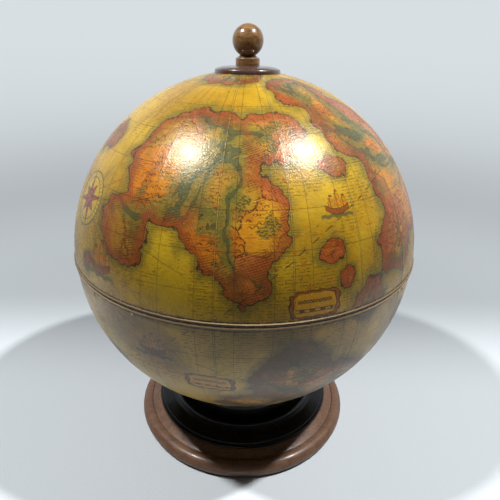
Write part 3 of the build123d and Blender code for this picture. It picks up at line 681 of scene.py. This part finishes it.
# Each ornament with its places, its turn, and the ink and strength of each of its parts
ORNAMENTS = (
    (compass_rose, ROSES, ROSE_TURN, (("field", "sea", 0.75), ("points", "crimson", 0.92),
                                      ("rings", "teal", 0.95), ("ink", "ink", 0.75))),
    (little_ship, SHIPS, 0.0, (("water", "teal", 0.80), ("hull", "rust", 0.85),
                               ("sail", "land", 0.80), ("flag", "crimson", 0.95),
                               ("ink", "ink", 0.75))),
    (scale_panel, SCALE_BARS, 0.0, (("panel", "land_pale", 0.88), ("frame", "rust", 0.85),
                                    ("ink", "ink", 0.85))),
)


def print_ornaments(tree, sheet, at):
    """Compass roses with rays over the sea, ships and framed scale bars."""
    for ornament, sites, turn, washes in ORNAMENTS:
        for longitude, latitude, size in sites:
            x, y, facing = near_place(at.direction, longitude, latitude, size, turn)
            parts = ornament(tree, x=x, y=y)
            if ornament is compass_rose:
                sheet.wash("ink", parts.rays * at.at_sea * facing, 0.34)
            for part, ink, strength in washes:
                sheet.wash(ink, getattr(parts, part) * facing, strength)


def age_print(sheet, at, edge_latitude, fade):
    """Age: toned gores, specks and lapped seams; painted shade towards the rim, along the seam and
    under the bowl; and a greyed print on a shell with fade.
    """
    age = (at.gore * 0.16 + 0.90) * (at.stain * 0.34 + 0.84) * (at.grain * 0.36 + 0.83)
    sheet.colour = mix(1.0, sheet.colour, join(age, age, age), "MULTIPLY")
    sheet.wash("ink", smooth(at.fine, 0.70, 0.76), 0.5)
    sheet.wash("paper", stroke(at.seam, 0.0024) * smooth(at.grain, 0.38, 0.60), 0.30)
    sheet.wash("ink", stroke(at.seam - 0.0036, 0.0015) * smooth(at.grain, 0.32, 0.55), 0.62)
    # painted shade: the print darkens towards the rim, near the seam
    clear_of_rim_shade = smooth(abs(at.latitude), 0.0, 0.62)
    sheet.colour = darkened(1.0 - clear_of_rim_shade, sheet.colour, (0.60, 0.58, 0.40))

    # a shell with fade has its print greyed towards the fog colour, and its dark parts darkened
    greyed = mix(1.0, sheet.colour, (0.84, 0.84, 1.40), "MULTIPLY")
    sheet.colour = mix(fade, sheet.colour, mix(0.36, greyed, sheet.inks["fog"]))
    punch = smooth(dot(sheet.colour, (0.3, 0.6, 0.1)), 0.10, 0.24) * 1.04 + 0.32
    sheet.colour = darkened(fade, sheet.colour, join(punch, punch, punch))

    from_edge = abs(at.latitude - edge_latitude)
    # painted shade: a dark band and a darker line along the shell's edge at the seam
    border = from_edge + (at.grain - 0.5) * 0.012 - (at.tide - 0.5) * 0.036
    sheet.wash("ink", smooth(border, 0.013, 0.006), 0.72)
    gap = from_edge + (at.grain - 0.5) * 0.008
    sheet.wash("ink", smooth(gap, 0.0085, 0.0050) * smooth(at.tide, 0.36, 0.44), 0.92)
    sheet.wash("paper", smooth(at.grain - from_edge * 22.0, 0.46, 0.52), 0.35)
    # painted shade: the bowl's lowest part, under it near the plinth, is darkened
    sheet.wash("ink", smooth(at.latitude + (at.blot - 0.5) * 0.10, -0.84, -0.98), 0.80)


@node_group("Globe print", centre_height=0.2, edge_latitude=0.0, fade=0.0,
            **dict.fromkeys(INKS, BLACK))
def globe_print(tree, centre_height, edge_latitude, fade, **inks):
    """The whole coloured print of the globe, old and varnished."""
    at = print_place(tree, centre_height=centre_height)
    at.inland = coastline(tree, direction=at.direction).inland
    on_land = smooth(at.inland, -0.002, 0.002)
    at.at_sea = 1.0 - on_land
    for name, shape in NOISES.items():
        setattr(at, name, noise(at.direction, *shape))
    for name, values in SIGNS.items():
        setattr(at, name, hill_signs(tree, direction=at.direction, **values).ink)
    row = at.latitude * WAVE_ROWS
    breaks = stretched_noise(at.longitude * WAVE_LENGTHS, calc("FLOOR", row) * 7.3, 0.0)
    at.dashes = lines(row, 0.17) * smooth(breaks, 0.47, 0.51)

    sheet = Sheet(mix(on_land, print_sea(at, inks), print_land(at, inks)), inks)
    sheet.wash("ink", stroke(at.inland, 0.0032), 0.88)
    print_grid(sheet, at)
    print_ornaments(tree, sheet, at)
    age_print(sheet, at, edge_latitude, fade)
    return {"color": sheet.colour, "grain": at.grain}


# ---- effects shared by materials


@node_group("Timber grain", place=None, tree_offset=None, ring_width=0.004, figure=0.010,
            pores=1.0, rings=0.55, fleck=0.0, light=BLACK, dark=BLACK)
def timber_grain(tree, place, tree_offset, ring_width, figure, pores, rings, fleck, light, dark):
    """Wood: growth rings round a tree that runs along X, long fibres and short dark pores."""
    x, y, z = split(aim("ADD", place, tree_offset))
    sway = stretched_noise(x * 5.0, y * 22.0, z * 22.0, 3.0) - 0.5
    ring = calc("FRACT", (reach_of(y, z) + sway * figure) / ring_width)
    late = smooth(ring, 0.25, 0.95) * (1.0 - smooth(ring, 0.95, 1.0))
    fibre = stretched_noise(x * 14.0, y * 420.0, z * 420.0, 4.0, 0.65)
    pore = smooth(stretched_noise(x * 85.0, y * 1500.0, z * 1500.0, 1.0), 0.62, 0.70) * pores
    mottle = stretched_noise(x * 130.0, y * 330.0, z * 330.0, 4.0, 0.6, 0.5) - 0.5
    share = calc("ADD", late * rings + mottle * fleck, (fibre - 0.5) * 1.5 + 0.20, clamp=True)
    wood = mix(pore * 0.7, mix(share, light, dark), mix(0.75, dark, BLACK))
    return {"color": wood, "height": fibre * 0.5 - pore, "gloss": fibre}


@node_group("Handling", place=None)
def handling(tree, place):
    """Marks of use: soft smears, fine scratches and settled dust, each from 0 to 1."""
    fine = noise(place, 900.0)
    x, y, z = split(place)
    scratch = stretched_noise(x * 60.0, y * 900.0, z * 420.0, 2.0, 0.5, 0.4)
    up = split(coordinate(tree, "Normal"))[2]
    return {"smear": smooth(noise(place, 38.0, 4.0, 0.6), 0.45, 0.72),
            "scratch": smooth(scratch, 0.66, 0.70),
            "dust": smooth(up, 0.55, 1.0) * smooth(fine, 0.50, 0.68), "fine": fine}


# ---- materials


def blank_material(name):
    """An empty material, its node tree, and a point's place on the object that it covers."""
    made = bpy.data.materials.get(name) or bpy.data.materials.new(name)
    made.use_nodes = True
    made.node_tree.nodes.clear()
    return made, made.node_tree, coordinate(made.node_tree)


def finish_with(made, height, depth, **values):
    """Ends a material in a Principled shader, and bumps its surface by height times depth."""
    tree = made.node_tree
    shader = add_node(tree, "ShaderNodeBsdfPrincipled")
    bump = add_node(tree, "ShaderNodeBump")
    leave = add_node(tree, "ShaderNodeOutputMaterial")
    feed(bump.inputs["Distance"], depth)
    feed(bump.inputs["Height"], height)
    tree.links.new(bump.outputs[0], shader.inputs["Normal"])
    tree.links.new(shader.outputs[0], leave.inputs["Surface"])
    for name, value in values.items():
        feed(shader.inputs[name.replace("_", " ")], value)
    return made


def map_material(name, centre, edge, glaze, fade, gloss, shine):
    """Printed paper under amber varnish."""
    made, tree, place = blank_material(name)
    printed = globe_print(tree, centre_height=centre, edge_latitude=edge, fade=fade,
                          **{ink: getattr(paper(), ink) for ink in INKS})
    marks = handling(tree, place=place)
    peel = noise(place, 640.0, 3.0, 0.6)
    ripple = noise(place, 150.0)
    return finish_with(
        made, peel * 1.9 + marks.scratch * 0.5 + ripple * 1.8, 0.00012,
        Base_Color=mix(marks.dust * 0.05, printed.color, (0.6, 0.58, 0.52)),
        Roughness=printed.grain * 0.16 + marks.smear * 0.10 + gloss, Specular_IOR_Level=shine,
        Specular_Tint=(1.0, 0.92, 0.72), Coat_Weight=glaze, Coat_Roughness=0.30)


# Woods: the name of their colours among the settings, and values of the finish and the grain
WOODS = {
    "walnut": ("walnut", dict(gloss=0.36, coat=0.12, ring_width=0.0075, figure=0.045, rings=0.34,
                              fleck=0.9)),
    "knob_wood": ("knob", dict(gloss=0.24, coat=0.6, tree_offset=(0, 0.03, 0.02),
                               ring_width=0.0070, figure=0.012, rings=0.35, fleck=2.2)),
    "disc_wood": ("disc", dict(gloss=0.22, coat=1.0, ring_width=0.0060, rings=0.30, fleck=1.0)),
    "board_veneer": ("board", dict(gloss=0.30, tree_offset=(0, 0.04, -0.05), ring_width=0.0050,
                                   figure=0.030)),
    "plain_wood": ("plain", dict(gloss=0.55, coat=0.0, pores=0.4)),
}


def wood_material(name, tones, gloss, coat=0.4, tree_offset=(0, 0.01, 0.08), **grains):
    """Varnished wood with its grain along X."""
    made, tree, place = blank_material(name)
    light, dark = (getattr(timber(), tones + part) for part in ("_light", "_dark"))
    grain = timber_grain(tree, place=place, tree_offset=tree_offset, light=light, dark=dark,
                         **grains)
    marks = handling(tree, place=place)
    worn = mix(marks.scratch * 0.25, grain.color, light)
    return finish_with(
        made, grain.height, 0.00005, Base_Color=mix(marks.dust * 0.10, worn, (0.55, 0.52, 0.48)),
        Roughness=grain.gloss * 0.10 + marks.smear * 0.12 + gloss, Specular_IOR_Level=0.35,
        Coat_Weight=coat, Coat_Roughness=0.16)


HOOP_FACE = (LID_RADIUS - 0.004, LID_RADIUS - 0.002)
HOOP_BLUR = 0.0003
# Each rim: where its pale line starts and ends, as distance from the seam, and the setting that
# colours that line, a painted highlight
HOOPS = {"lid_rim_wood": (0.0019, 0.0100, "hoop_rubbed_highlight"),
         "bowl_rim_wood": (0.0005, 0.0020, "hoop_painted_highlight")}


def hoop_material(name, hollow, crest, bare):
    """Varnished hoop: outside, dark with stain and painted shade up to hollow from the seam, then
    a pale line up to crest that is a painted highlight (on the lid also rubbed wood), then brown
    with half the stain.
    """
    wood = timber()
    made, tree, place = blank_material(name)
    x, y, z = split(place)
    round_way = join(calc("ARCTAN2", x, 0.0 - y) * LID_RADIUS, z, 0.0)
    grain = timber_grain(tree, place=round_way, tree_offset=(0, 0.004, 0.03), ring_width=0.0035,
                         figure=0.004, pores=0.3, light=wood.hoop_light, dark=wood.hoop_dark)
    rubbed = noise(place, 260.0, 3.0)
    from_seam = abs(z - SEAM) + (rubbed - 0.5) * 0.0005
    outside = smooth(reach_of(x, y), *HOOP_FACE)
    beyond = smooth(from_seam, crest, crest + HOOP_BLUR)
    # stain and painted shade over the outside face, half as strong beyond the crest
    stained_and_shaded = mix(outside * (0.95 - beyond * 0.45), grain.color, wood.hoop_stain)
    # the pale line between hollow and crest is a painted highlight
    pale = smooth(from_seam, hollow, hollow + HOOP_BLUR) * (1.0 - beyond) * outside
    return finish_with(made, grain.height + rubbed * 0.4, 0.00004,
                       Base_Color=mix(pale * 0.92, stained_and_shaded, getattr(wood, bare)),
                       Roughness=rubbed * 0.14 + 0.42, Specular_IOR_Level=0.25,
                       Coat_Weight=0.04, Coat_Roughness=0.25)


def lacquer_material():
    """Black lacquer with turning marks, smears and a little dust."""
    made, tree, place = blank_material("black_lacquer")
    x, y, z = split(place)
    lathe = stretched_noise(reach_of(x, y) * 900.0, z * 900.0, 0.0)
    marks = handling(tree, place=place)
    black = mix(marks.dust * 0.02 + marks.scratch * 0.02, timber().lacquer, (0.35, 0.34, 0.33))
    return finish_with(made, lathe + marks.fine * 0.4, 0.00003, Base_Color=black,
                       Roughness=marks.smear * 0.12 + 0.16, IOR=1.48, Specular_IOR_Level=0.30)


def metal_material(name, clean, tarnish, rough):
    """Metal with brushed lines, tarnish and rubbed scratches."""
    made, tree, place = blank_material(name)
    x, y, z = split(place)
    brushed = stretched_noise(x * 90.0, y * 1600.0, z * 1600.0, 3.0)
    marks = handling(tree, place=place)
    cloud = smooth(noise(place, 120.0, 4.0), 0.42, 0.70)
    tone = mix(marks.scratch * 0.3, mix(cloud * 0.65, clean, tarnish), clean)
    return finish_with(made, brushed + marks.fine * 0.3, 0.000025, Base_Color=tone, Metallic=1.0,
                       Roughness=brushed * 0.16 + cloud * 0.14 + rough)


def felt_material():
    """Pressed wool felt."""
    made, _, place = blank_material("green_felt")
    wool = noise(place, 900.0, 5.0, 0.75)
    hairs = noise(place, 2600.0, distortion=2.0)
    tone = mix(smooth(wool, 0.35, 0.65), (0.022, 0.075, 0.040), (0.055, 0.150, 0.085))
    tone = mix(smooth(hairs, 0.60, 0.75) * 0.5, tone, (0.12, 0.24, 0.15))
    return finish_with(made, wool + hairs * 0.5, 0.00035, Base_Color=tone, Roughness=0.95,
                       Sheen_Weight=0.35, Sheen_Roughness=0.5)


STAR_COLUMN = 10 * DEGREE
STAR_ROW = 8 * DEGREE


def lining_material():
    """Aged paper inside the shells, printed with rows of small stars."""
    made, tree, _ = blank_material("shell_lining")
    spot = print_place(tree, centre_height=LID_CENTRE)
    stain = noise(spot.direction, 3.0, 5.0, 0.6)
    fibre = noise(spot.direction, 210.0, 3.0, 0.7)
    base = mix(smooth(stain, 0.35, 0.75), paper().lining, (0.26, 0.165, 0.07))
    up = spot.latitude / STAR_ROW
    stagger = calc("FRACT", calc("FLOOR", up) * 0.5)
    x = calc("FRACT", spot.longitude / STAR_COLUMN + stagger) - 0.5
    y = calc("FRACT", up) - 0.5
    star = calc("POWER", abs(x * cosine(spot.latitude)) * 1.25 + 0.0001, 0.6) \
        + calc("POWER", abs(y) + 0.0001, 0.6)
    base = mix(smooth(star, 0.52, 0.46) * 0.75, base, (0.20, 0.045, 0.020))
    base = mix(fibre * 0.35, base, (0.52, 0.42, 0.28))
    return finish_with(made, fibre, 0.00008, Base_Color=base, Roughness=0.62, Coat_Weight=0.12,
                       Coat_Roughness=0.35)


def edge_material():
    """Bare pressed fibre and torn paper at the edges of the shells."""
    made, _, place = blank_material("paper_edge")
    fibre = noise(place, 1400.0, 4.0, 0.7)
    tone = mix(smooth(fibre, 0.35, 0.7), (0.30, 0.20, 0.10), (0.50, 0.40, 0.26))
    return finish_with(made, fibre, 0.0001, Base_Color=tone, Roughness=0.8)


# ---- shells laid with gores


GORE_INPUTS = {
    "radius": "Float", "centre_height": "Float", "low_latitude": "Float",
    "high_latitude": "Float", "gores": "Int", "first_seam": "Float", "columns": "Int",
    "rows": "Int", "lap_width": "Float", "lap_rise": "Float", "paper": "Material",
}
GORE_COLUMNS = 17
GORE_ROWS = 72
COLUMN_EASE = 0.45
MERGE_GAP = 0.000005
SHARP_EDGE = math.radians(35)


def gore_tree():
    """Geometry nodes that lay lapped paper gores round a sphere between two latitudes."""
    name = "Gore shell"
    if name in bpy.data.node_groups:
        return bpy.data.node_groups[name]
    tree = bpy.data.node_groups.new(name, "GeometryNodeTree")
    tree.is_modifier = True
    tree.interface.new_socket("Geometry", in_out="OUTPUT", socket_type="NodeSocketGeometry")
    for key, kind in GORE_INPUTS.items():
        tree.interface.new_socket(label_of(key), in_out="INPUT",
                                  socket_type="NodeSocket" + kind)
    entry = add_node(tree, "NodeGroupInput")
    given = SimpleNamespace(**{key: Wire(entry.outputs[label_of(key)]) for key in GORE_INPUTS})

    grid = add_node(tree, "GeometryNodeMeshGrid")
    feed(grid.inputs["Vertices X"], given.columns)
    feed(grid.inputs["Vertices Y"], given.rows)
    x, y, _ = split(Wire(add_node(tree, "GeometryNodeInputPosition").outputs[0]))
    column = calc("ROUND", (x + 0.5) * (given.columns - 1.0))
    step = math.tau / given.gores
    # column 0 is the foot of the lapped edge, and column 1 its top, right above it
    share = highest(column - 1.0, 0.0) / (given.columns - 2.0)
    eased = share * share * (3.0 - 2.0 * share) * COLUMN_EASE + share * (1 - COLUMN_EASE)
    slide = eased * step
    lapped = (column > 0.5) * (1.0 - smooth(slide, 0.0, given.lap_width))
    radius = given.radius + lapped * given.lap_rise
    latitude = given.low_latitude + (y + 0.5) * (given.high_latitude - given.low_latitude)
    level = radius * cosine(latitude)
    bent = add_node(tree, "GeometryNodeSetPosition")
    tree.links.new(grid.outputs["Mesh"], bent.inputs["Geometry"])
    feed(bent.inputs["Position"],
         join(level * calc("SINE", slide), 0.0 - level * cosine(slide),
              given.centre_height + radius * calc("SINE", latitude)))

    places = add_node(tree, "GeometryNodePoints")
    feed(places.inputs["Count"], given.gores)
    number = Wire(add_node(tree, "GeometryNodeInputIndex").outputs[0])
    turn = add_node(tree, "FunctionNodeEulerToRotation")
    feed(turn.inputs[0], join(0.0, 0.0, given.first_seam + number * step))
    copies = add_node(tree, "GeometryNodeInstanceOnPoints")
    tree.links.new(places.outputs[0], copies.inputs["Points"])
    tree.links.new(bent.outputs[0], copies.inputs["Instance"])
    tree.links.new(turn.outputs[0], copies.inputs["Rotation"])
    chain = copies
    for kind in ("GeometryNodeRealizeInstances", "GeometryNodeMergeByDistance",
                 "GeometryNodeSetShadeSmooth", "GeometryNodeSetMaterial"):
        following = add_node(tree, kind)
        tree.links.new(chain.outputs[0], following.inputs["Geometry"])
        chain = following
        if kind == "GeometryNodeMergeByDistance":
            feed(following.inputs["Distance"], MERGE_GAP)
    feed(chain.inputs["Material"], given.paper)
    tree.links.new(chain.outputs[0], add_node(tree, "NodeGroupOutput").inputs[0])
    return tree


def place_piece(data, name):
    """A new object at the origin."""
    made = bpy.data.objects.new(name, data)
    bpy.context.scene.collection.objects.link(made)
    return made


def settled_mesh(source, name):
    """The evaluated mesh of an object, as a new object at the origin, in place of the old."""
    bpy.context.view_layer.update()
    graph = bpy.context.evaluated_depsgraph_get()
    mesh = bpy.data.meshes.new_from_object(source.evaluated_get(graph), depsgraph=graph)
    old = source.data
    bpy.data.objects.remove(source)
    bpy.data.meshes.remove(old)
    mesh.name = name
    return place_piece(mesh, name)


def add_wall(piece, thickness):
    wall = piece.modifiers.new("Wall", "SOLIDIFY")
    wall.thickness = thickness
    wall.offset = -1
    return wall


def gore_shell(name, centre, radius, low, high, skin):
    """A papered shell: gores outside, a lining inside and bare fibre on its edges."""
    settings = paper()
    carrier = place_piece(bpy.data.meshes.new(name + "_grid"), name + "_grid")
    lay_gores = carrier.modifiers.new("Gores", "NODES")
    lay_gores.node_group = gore_tree()
    values = {"radius": radius, "centre_height": centre, "low_latitude": low,
              "high_latitude": high, "gores": settings.gores, "first_seam": FIRST_SEAM,
              "columns": GORE_COLUMNS, "rows": GORE_ROWS,
              "lap_width": settings.lap_width / radius, "lap_rise": settings.lap_rise,
              "paper": skin}
    for item in lay_gores.node_group.interface.items_tree:
        if item.in_out == "INPUT":
            lay_gores[item.identifier] = values[key_of(item.name)]
    papered = settled_mesh(carrier, name + "_skin")
    for material in (lining_material(), edge_material()):
        papered.data.materials.append(material)
    wall = add_wall(papered, SHELL_WALL)
    wall.material_offset = 1
    wall.material_offset_rim = 2
    made = settled_mesh(papered, name)
    made.data.set_sharp_from_angle(angle=SHARP_EDGE)
    return made


def latitude_of(height, centre, radius):
    return math.asin((height - centre) / radius)


# Small tears under the bowl's rim: longitude in degrees, width, length and how far the tip lifts
TEARS = [(-49.0, 0.0080, 0.0042, 0.0011), (-46.5, 0.0040, 0.0024, 0.0007),
         (-31.0, 0.0050, 0.0026, 0.0006), (24.0, 0.0045, 0.0022, 0.0005),
         (52.5, 0.0060, 0.0030, 0.0010), (56.0, 0.0085, 0.0036, 0.0012),
         (131.0, 0.0060, 0.0030, 0.0008), (-118.0, 0.0070, 0.0034, 0.0009)]
TEAR_STEPS = 6
TEAR_TOP = 0.0003
TEAR_CLEARANCE = 0.00022
TEAR_PAPER = 0.00018


def tear_point(made, i, j, longitude, width, drop, lift):
    """A vertex of a flap, i steps across it and j steps down it."""
    down = j / TEAR_STEPS
    aside = (i / TEAR_STEPS - 0.5) * (1 - 0.8 * down ** 1.4) + 0.18 * down
    ragged = 0.06 * math.sin(9 * i + 4 * j + longitude)
    top = latitude_of(BOWL_EDGE - TEAR_TOP, BOWL_CENTRE, BOWL_RADIUS)
    latitude = top - (down + ragged * down) * drop / BOWL_RADIUS
    reach = BOWL_RADIUS + TEAR_CLEARANCE + lift * (down ** 1.8) * (1 - 0.5 * abs(aside))
    turn = longitude + math.degrees(aside * width / BOWL_RADIUS)
    spot = on_globe(turn, math.degrees(latitude)) * reach
    return made.verts.new(spot + Vector((0, 0, BOWL_CENTRE)))


def torn_paper(material):
    """Flaps of paper that peel from the bowl's upper edge and curl outwards to a ragged tip."""
    made = bmesh.new()
    for tear in TEARS:
        rows = [[tear_point(made, i, j, *tear) for i in range(TEAR_STEPS + 1)]
                for j in range(TEAR_STEPS + 1)]
        for upper, lower in zip(rows, rows[1:]):
            for corners in zip(upper, lower, lower[1:], upper[1:]):
                made.faces.new(corners)
    sheets = place_piece(smooth_mesh(made, "tear_sheets"), "tear_sheets")
    sheets.data.materials.append(material)
    add_wall(sheets, TEAR_PAPER)
    return settled_mesh(sheets, "torn_paper")


def smooth_mesh(made, name):
    """The mesh of what was built, shaded smooth."""
    mesh = bpy.data.meshes.new(name)
    made.to_mesh(mesh)
    made.free()
    for face in mesh.polygons:
        face.use_smooth = True
    return mesh


class GLOBE_OT_lid_paper(bpy.types.Operator):
    """Lay the lid's shell with printed gores"""
    bl_idname = "globe_bar.lid_paper"
    bl_label = "Papered lid"

    def execute(self, context):
        edge = latitude_of(LID_EDGE, LID_CENTRE, LID_RADIUS)
        printed = map_material("lid_map", LID_CENTRE, edge, glaze=0.18, fade=0.0, gloss=0.18,
                               shine=0.42)
        lid = gore_shell("lid_papered", LID_CENTRE, LID_RADIUS, edge,
                         math.acos(STUD_HOLE / LID_RADIUS), printed)
        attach(lid, "lid")
        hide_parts("lid_shell")
        return {"FINISHED"}


class GLOBE_OT_bowl_paper(bpy.types.Operator):
    """Lay the bowl's shell with printed gores"""
    bl_idname = "globe_bar.bowl_paper"
    bl_label = "Papered bowl"

    def execute(self, context):
        edge = latitude_of(BOWL_EDGE, BOWL_CENTRE, BOWL_RADIUS)
        printed = map_material("bowl_map", BOWL_CENTRE, edge, glaze=0.20, fade=0.80, gloss=0.28,
                               shine=0.30)
        bowl = gore_shell("bowl_papered", BOWL_CENTRE, BOWL_RADIUS,
                          -math.acos(BOLT_HOLE / BOWL_RADIUS), edge, printed)
        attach(bowl, "stand")
        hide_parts("bowl_shell")
        return {"FINISHED"}


class GLOBE_OT_torn_paper(bpy.types.Operator):
    """Peel small tears from the paper under the bowl's rim"""
    bl_idname = "globe_bar.torn_paper"
    bl_label = "Torn paper"

    def execute(self, context):
        tears = torn_paper(edge_material())
        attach(tears, "stand")
        return {"FINISHED"}


# ---- finishes of the carried pieces


def dress(material):
    """Gives the carried pieces whose slot has the material's name their finish."""
    for row in frame["record"]["subparts"]:
        if row["material_slot"] == material.name:
            mesh = frame["nodes"][row["node"]].data
            mesh.materials.clear()
            mesh.materials.append(material)


class GLOBE_OT_woodwork(bpy.types.Operator):
    """Finish the turned pieces, rims, boards and blocks"""
    bl_idname = "globe_bar.woodwork"
    bl_label = "Woodwork"

    def execute(self, context):
        for name, (tones, values) in WOODS.items():
            dress(wood_material(name, tones, **values))
        for name, values in HOOPS.items():
            dress(hoop_material(name, *values))
        dress(lacquer_material())
        return {"FINISHED"}


class GLOBE_OT_metalwork(bpy.types.Operator):
    """Finish the hinge, stay, screws, bolt and stud"""
    bl_idname = "globe_bar.metalwork"
    bl_label = "Metalwork"

    def execute(self, context):
        dress(metal_material("brass", (0.62, 0.42, 0.15), (0.28, 0.17, 0.06), rough=0.16))
        dress(metal_material("steel", (0.50, 0.50, 0.49), (0.30, 0.29, 0.27), rough=0.24))
        return {"FINISHED"}


class GLOBE_OT_felt(bpy.types.Operator):
    """Finish the felt under the base and in the plinth's seat"""
    bl_idname = "globe_bar.felt"
    bl_label = "Felt"

    def execute(self, context):
        dress(felt_material())
        return {"FINISHED"}


# ---- studio


SWEEP_FLAT = 1.0
SWEEP_BEND = 0.7
SWEEP_TOP = 1.6
BEND_STEPS = 12
SWEEP_STEPS = 96
LAMP_TINT = (1.0, 0.99, 0.975)
LEFT_LAMP = (-0.84, -0.22, 1.70)
RIGHT_LAMP = (1.045, -0.194, 2.05)
SENSOR = 36.0
NEAR_CLIP = 0.01
FAR_CLIP = 20


def sweep_mesh():
    """A round pale floor that bends up into a wall on every side."""
    outline = [(0.0, 0.0), (SWEEP_FLAT, 0.0)]
    for i in range(1, BEND_STEPS + 1):
        turn = math.radians(90 * i / BEND_STEPS)
        outline.append((SWEEP_FLAT + SWEEP_BEND * math.sin(turn),
                        SWEEP_BEND * (1 - math.cos(turn))))
    outline.append((SWEEP_FLAT + SWEEP_BEND, SWEEP_TOP))
    made = bmesh.new()
    spots = [made.verts.new((radius, 0, height)) for radius, height in outline]
    edges = [made.edges.new(pair) for pair in zip(spots, spots[1:])]
    bmesh.ops.spin(made, geom=spots + edges, axis=(0, 0, 1), cent=(0, 0, 0), angle=math.tau,
                   steps=SWEEP_STEPS, use_duplicate=False)
    bmesh.ops.remove_doubles(made, verts=made.verts[:], dist=0.0001)
    bmesh.ops.recalc_face_normals(made, faces=made.faces[:])
    bmesh.ops.reverse_faces(made, faces=made.faces[:])
    return smooth_mesh(made, "sweep")


def sweep_material(settings):
    """Pale cloth that is darker behind the bar, as painted shade, and glows far away, where the
    camera sees it.
    """
    cloth, tree, place = blank_material("sweep_cloth")
    x, y, z = split(place)
    ahead = lowest(y + 0.26, 0.0) * 1.7
    reach = combine("ShaderNodeVectorMath", (join(x, y + ahead, z),), "Value", operation="LENGTH")
    tone = mix(noise(place, 2.2, 3.0) * 0.12, settings.cloth, (0.55, 0.60, 0.65))
    # painted shade: the cloth behind the bar is darker
    tone = mix(smooth(y, 0.0, 0.26) * 0.52, tone, BLACK)
    tone = mix(smooth(reach, 0.55, 1.30) * 0.90, tone, BLACK)
    tone = darkened(light_path(tree, "Is Diffuse Ray"), tone, settings.bounce)
    mirrored = highest(light_path(tree, "Is Glossy Ray"), light_path(tree, "Is Transmission Ray"))
    seen = highest(light_path(tree, "Is Camera Ray"), mirrored * smooth(y, -0.5, 0.8))
    far = smooth(reach, 0.36, 1.75)
    return finish_with(cloth, noise(place, 700.0), 0.0003, Base_Color=tone, Roughness=0.9,
                       Emission_Color=settings.air,
                       Emission_Strength=far * seen * settings.glow)


def room_world(settings):
    """Even light that comes mostly from behind the bar."""
    world = bpy.data.worlds.new("room")
    world.use_nodes = True
    tree = world.node_tree
    ahead = split(coordinate(tree, "Generated"))[1]
    strength = smooth(ahead, -0.6, 0.7) * (settings.sky - settings.dusk) + settings.dusk
    backdrop = tree.nodes["Background"]
    feed(backdrop.inputs["Color"], settings.air)
    feed(backdrop.inputs["Strength"],
         highest(strength, light_path(tree, "Is Camera Ray") * settings.glow))
    return world


def lamp(name, place, power, size):
    """A round lamp that shines at the lid's centre."""
    light = bpy.data.lights.new(name, "AREA")
    light.shape = "DISK"
    light.size = size
    light.energy = power
    light.color = LAMP_TINT
    made = place_piece(light, name)
    made.location = place
    away = Vector((0, 0, LID_CENTRE)) - Vector(place)
    made.rotation_euler = away.to_track_quat("-Z", "Y").to_euler()


def camera_object(settings):
    """The camera, looking at the lid's centre and then panned, tilted and rolled a little."""
    centre = Vector((0, 0, LID_CENTRE))
    back = Vector((0, -math.cos(settings.elevation), math.sin(settings.elevation)))
    right = Vector((1, 0, 0))
    level = Matrix((right, -back.cross(right), -back))
    lean = (Matrix.Rotation(settings.roll, 3, "Z") @ Matrix.Rotation(settings.tilt, 3, "X")
            @ Matrix.Rotation(settings.pan, 3, "Y") @ level)
    lens = bpy.data.cameras.new("camera")
    lens.sensor_width = SENSOR
    lens.lens = SENSOR / 2 / math.tan(settings.field / 2)
    lens.clip_start = NEAR_CLIP
    lens.clip_end = FAR_CLIP
    made = place_piece(lens, "camera")
    rows = Matrix((lean[0], -lean[1], -lean[2]))
    made.matrix_world = Matrix.Translation(centre + back * settings.distance) @ \
        rows.transposed().to_4x4()
    return made


class GLOBE_OT_studio(bpy.types.Operator):
    """Set up the camera, the lamps and the pale sweep"""
    bl_idname = "globe_bar.studio"
    bl_label = "Studio"

    def execute(self, context):
        settings = studio()
        scene = context.scene
        scene.view_settings.view_transform = "Standard"
        sweep = place_piece(sweep_mesh(), "sweep")
        sweep.data.materials.append(sweep_material(settings))
        scene.world = room_world(settings)
        lamp("left_lamp", LEFT_LAMP, settings.left_power, settings.lamp_size)
        lamp("right_lamp", RIGHT_LAMP, settings.right_power, settings.lamp_size)
        scene.camera = camera_object(settings)
        return {"FINISHED"}


# ---- panel and registration


OPERATORS = (GLOBE_OT_lid_paper, GLOBE_OT_bowl_paper, GLOBE_OT_torn_paper, GLOBE_OT_woodwork,
             GLOBE_OT_metalwork, GLOBE_OT_felt, GLOBE_OT_studio)


class GLOBE_PT_dresser(bpy.types.Panel):
    """Sizes, colours and steps of the globe bar"""
    bl_label = "Globe Bar"
    bl_idname = "GLOBE_PT_dresser"
    bl_space_type = "VIEW_3D"
    bl_region_type = "UI"
    bl_category = "Globe Bar"

    def draw(self, context):
        for operator in OPERATORS:
            self.layout.operator(operator.bl_idname)
        for group in (paper(), timber(), studio()):
            box = self.layout.box()
            for name in group.bl_rna.properties.keys():
                if name not in ("rna_type", "name"):
                    box.prop(group, name)


CLASSES = (GlobePaper, GlobeTimber, GlobeStudio, *OPERATORS, GLOBE_PT_dresser)


def register():
    for item in CLASSES:
        bpy.utils.register_class(item)
    bpy.types.Scene.globe_paper = PointerProperty(type=GlobePaper)
    bpy.types.Scene.globe_timber = PointerProperty(type=GlobeTimber)
    bpy.types.Scene.globe_studio = PointerProperty(type=GlobeStudio)


def unregister():
    del bpy.types.Scene.globe_studio
    del bpy.types.Scene.globe_timber
    del bpy.types.Scene.globe_paper
    for item in reversed(CLASSES):
        bpy.utils.unregister_class(item)


def main():
    register()
    for operator in OPERATORS:
        group, name = operator.bl_idname.split(".")
        getattr(getattr(bpy.ops, group), name)()


if __name__ == "__main__":
    main()
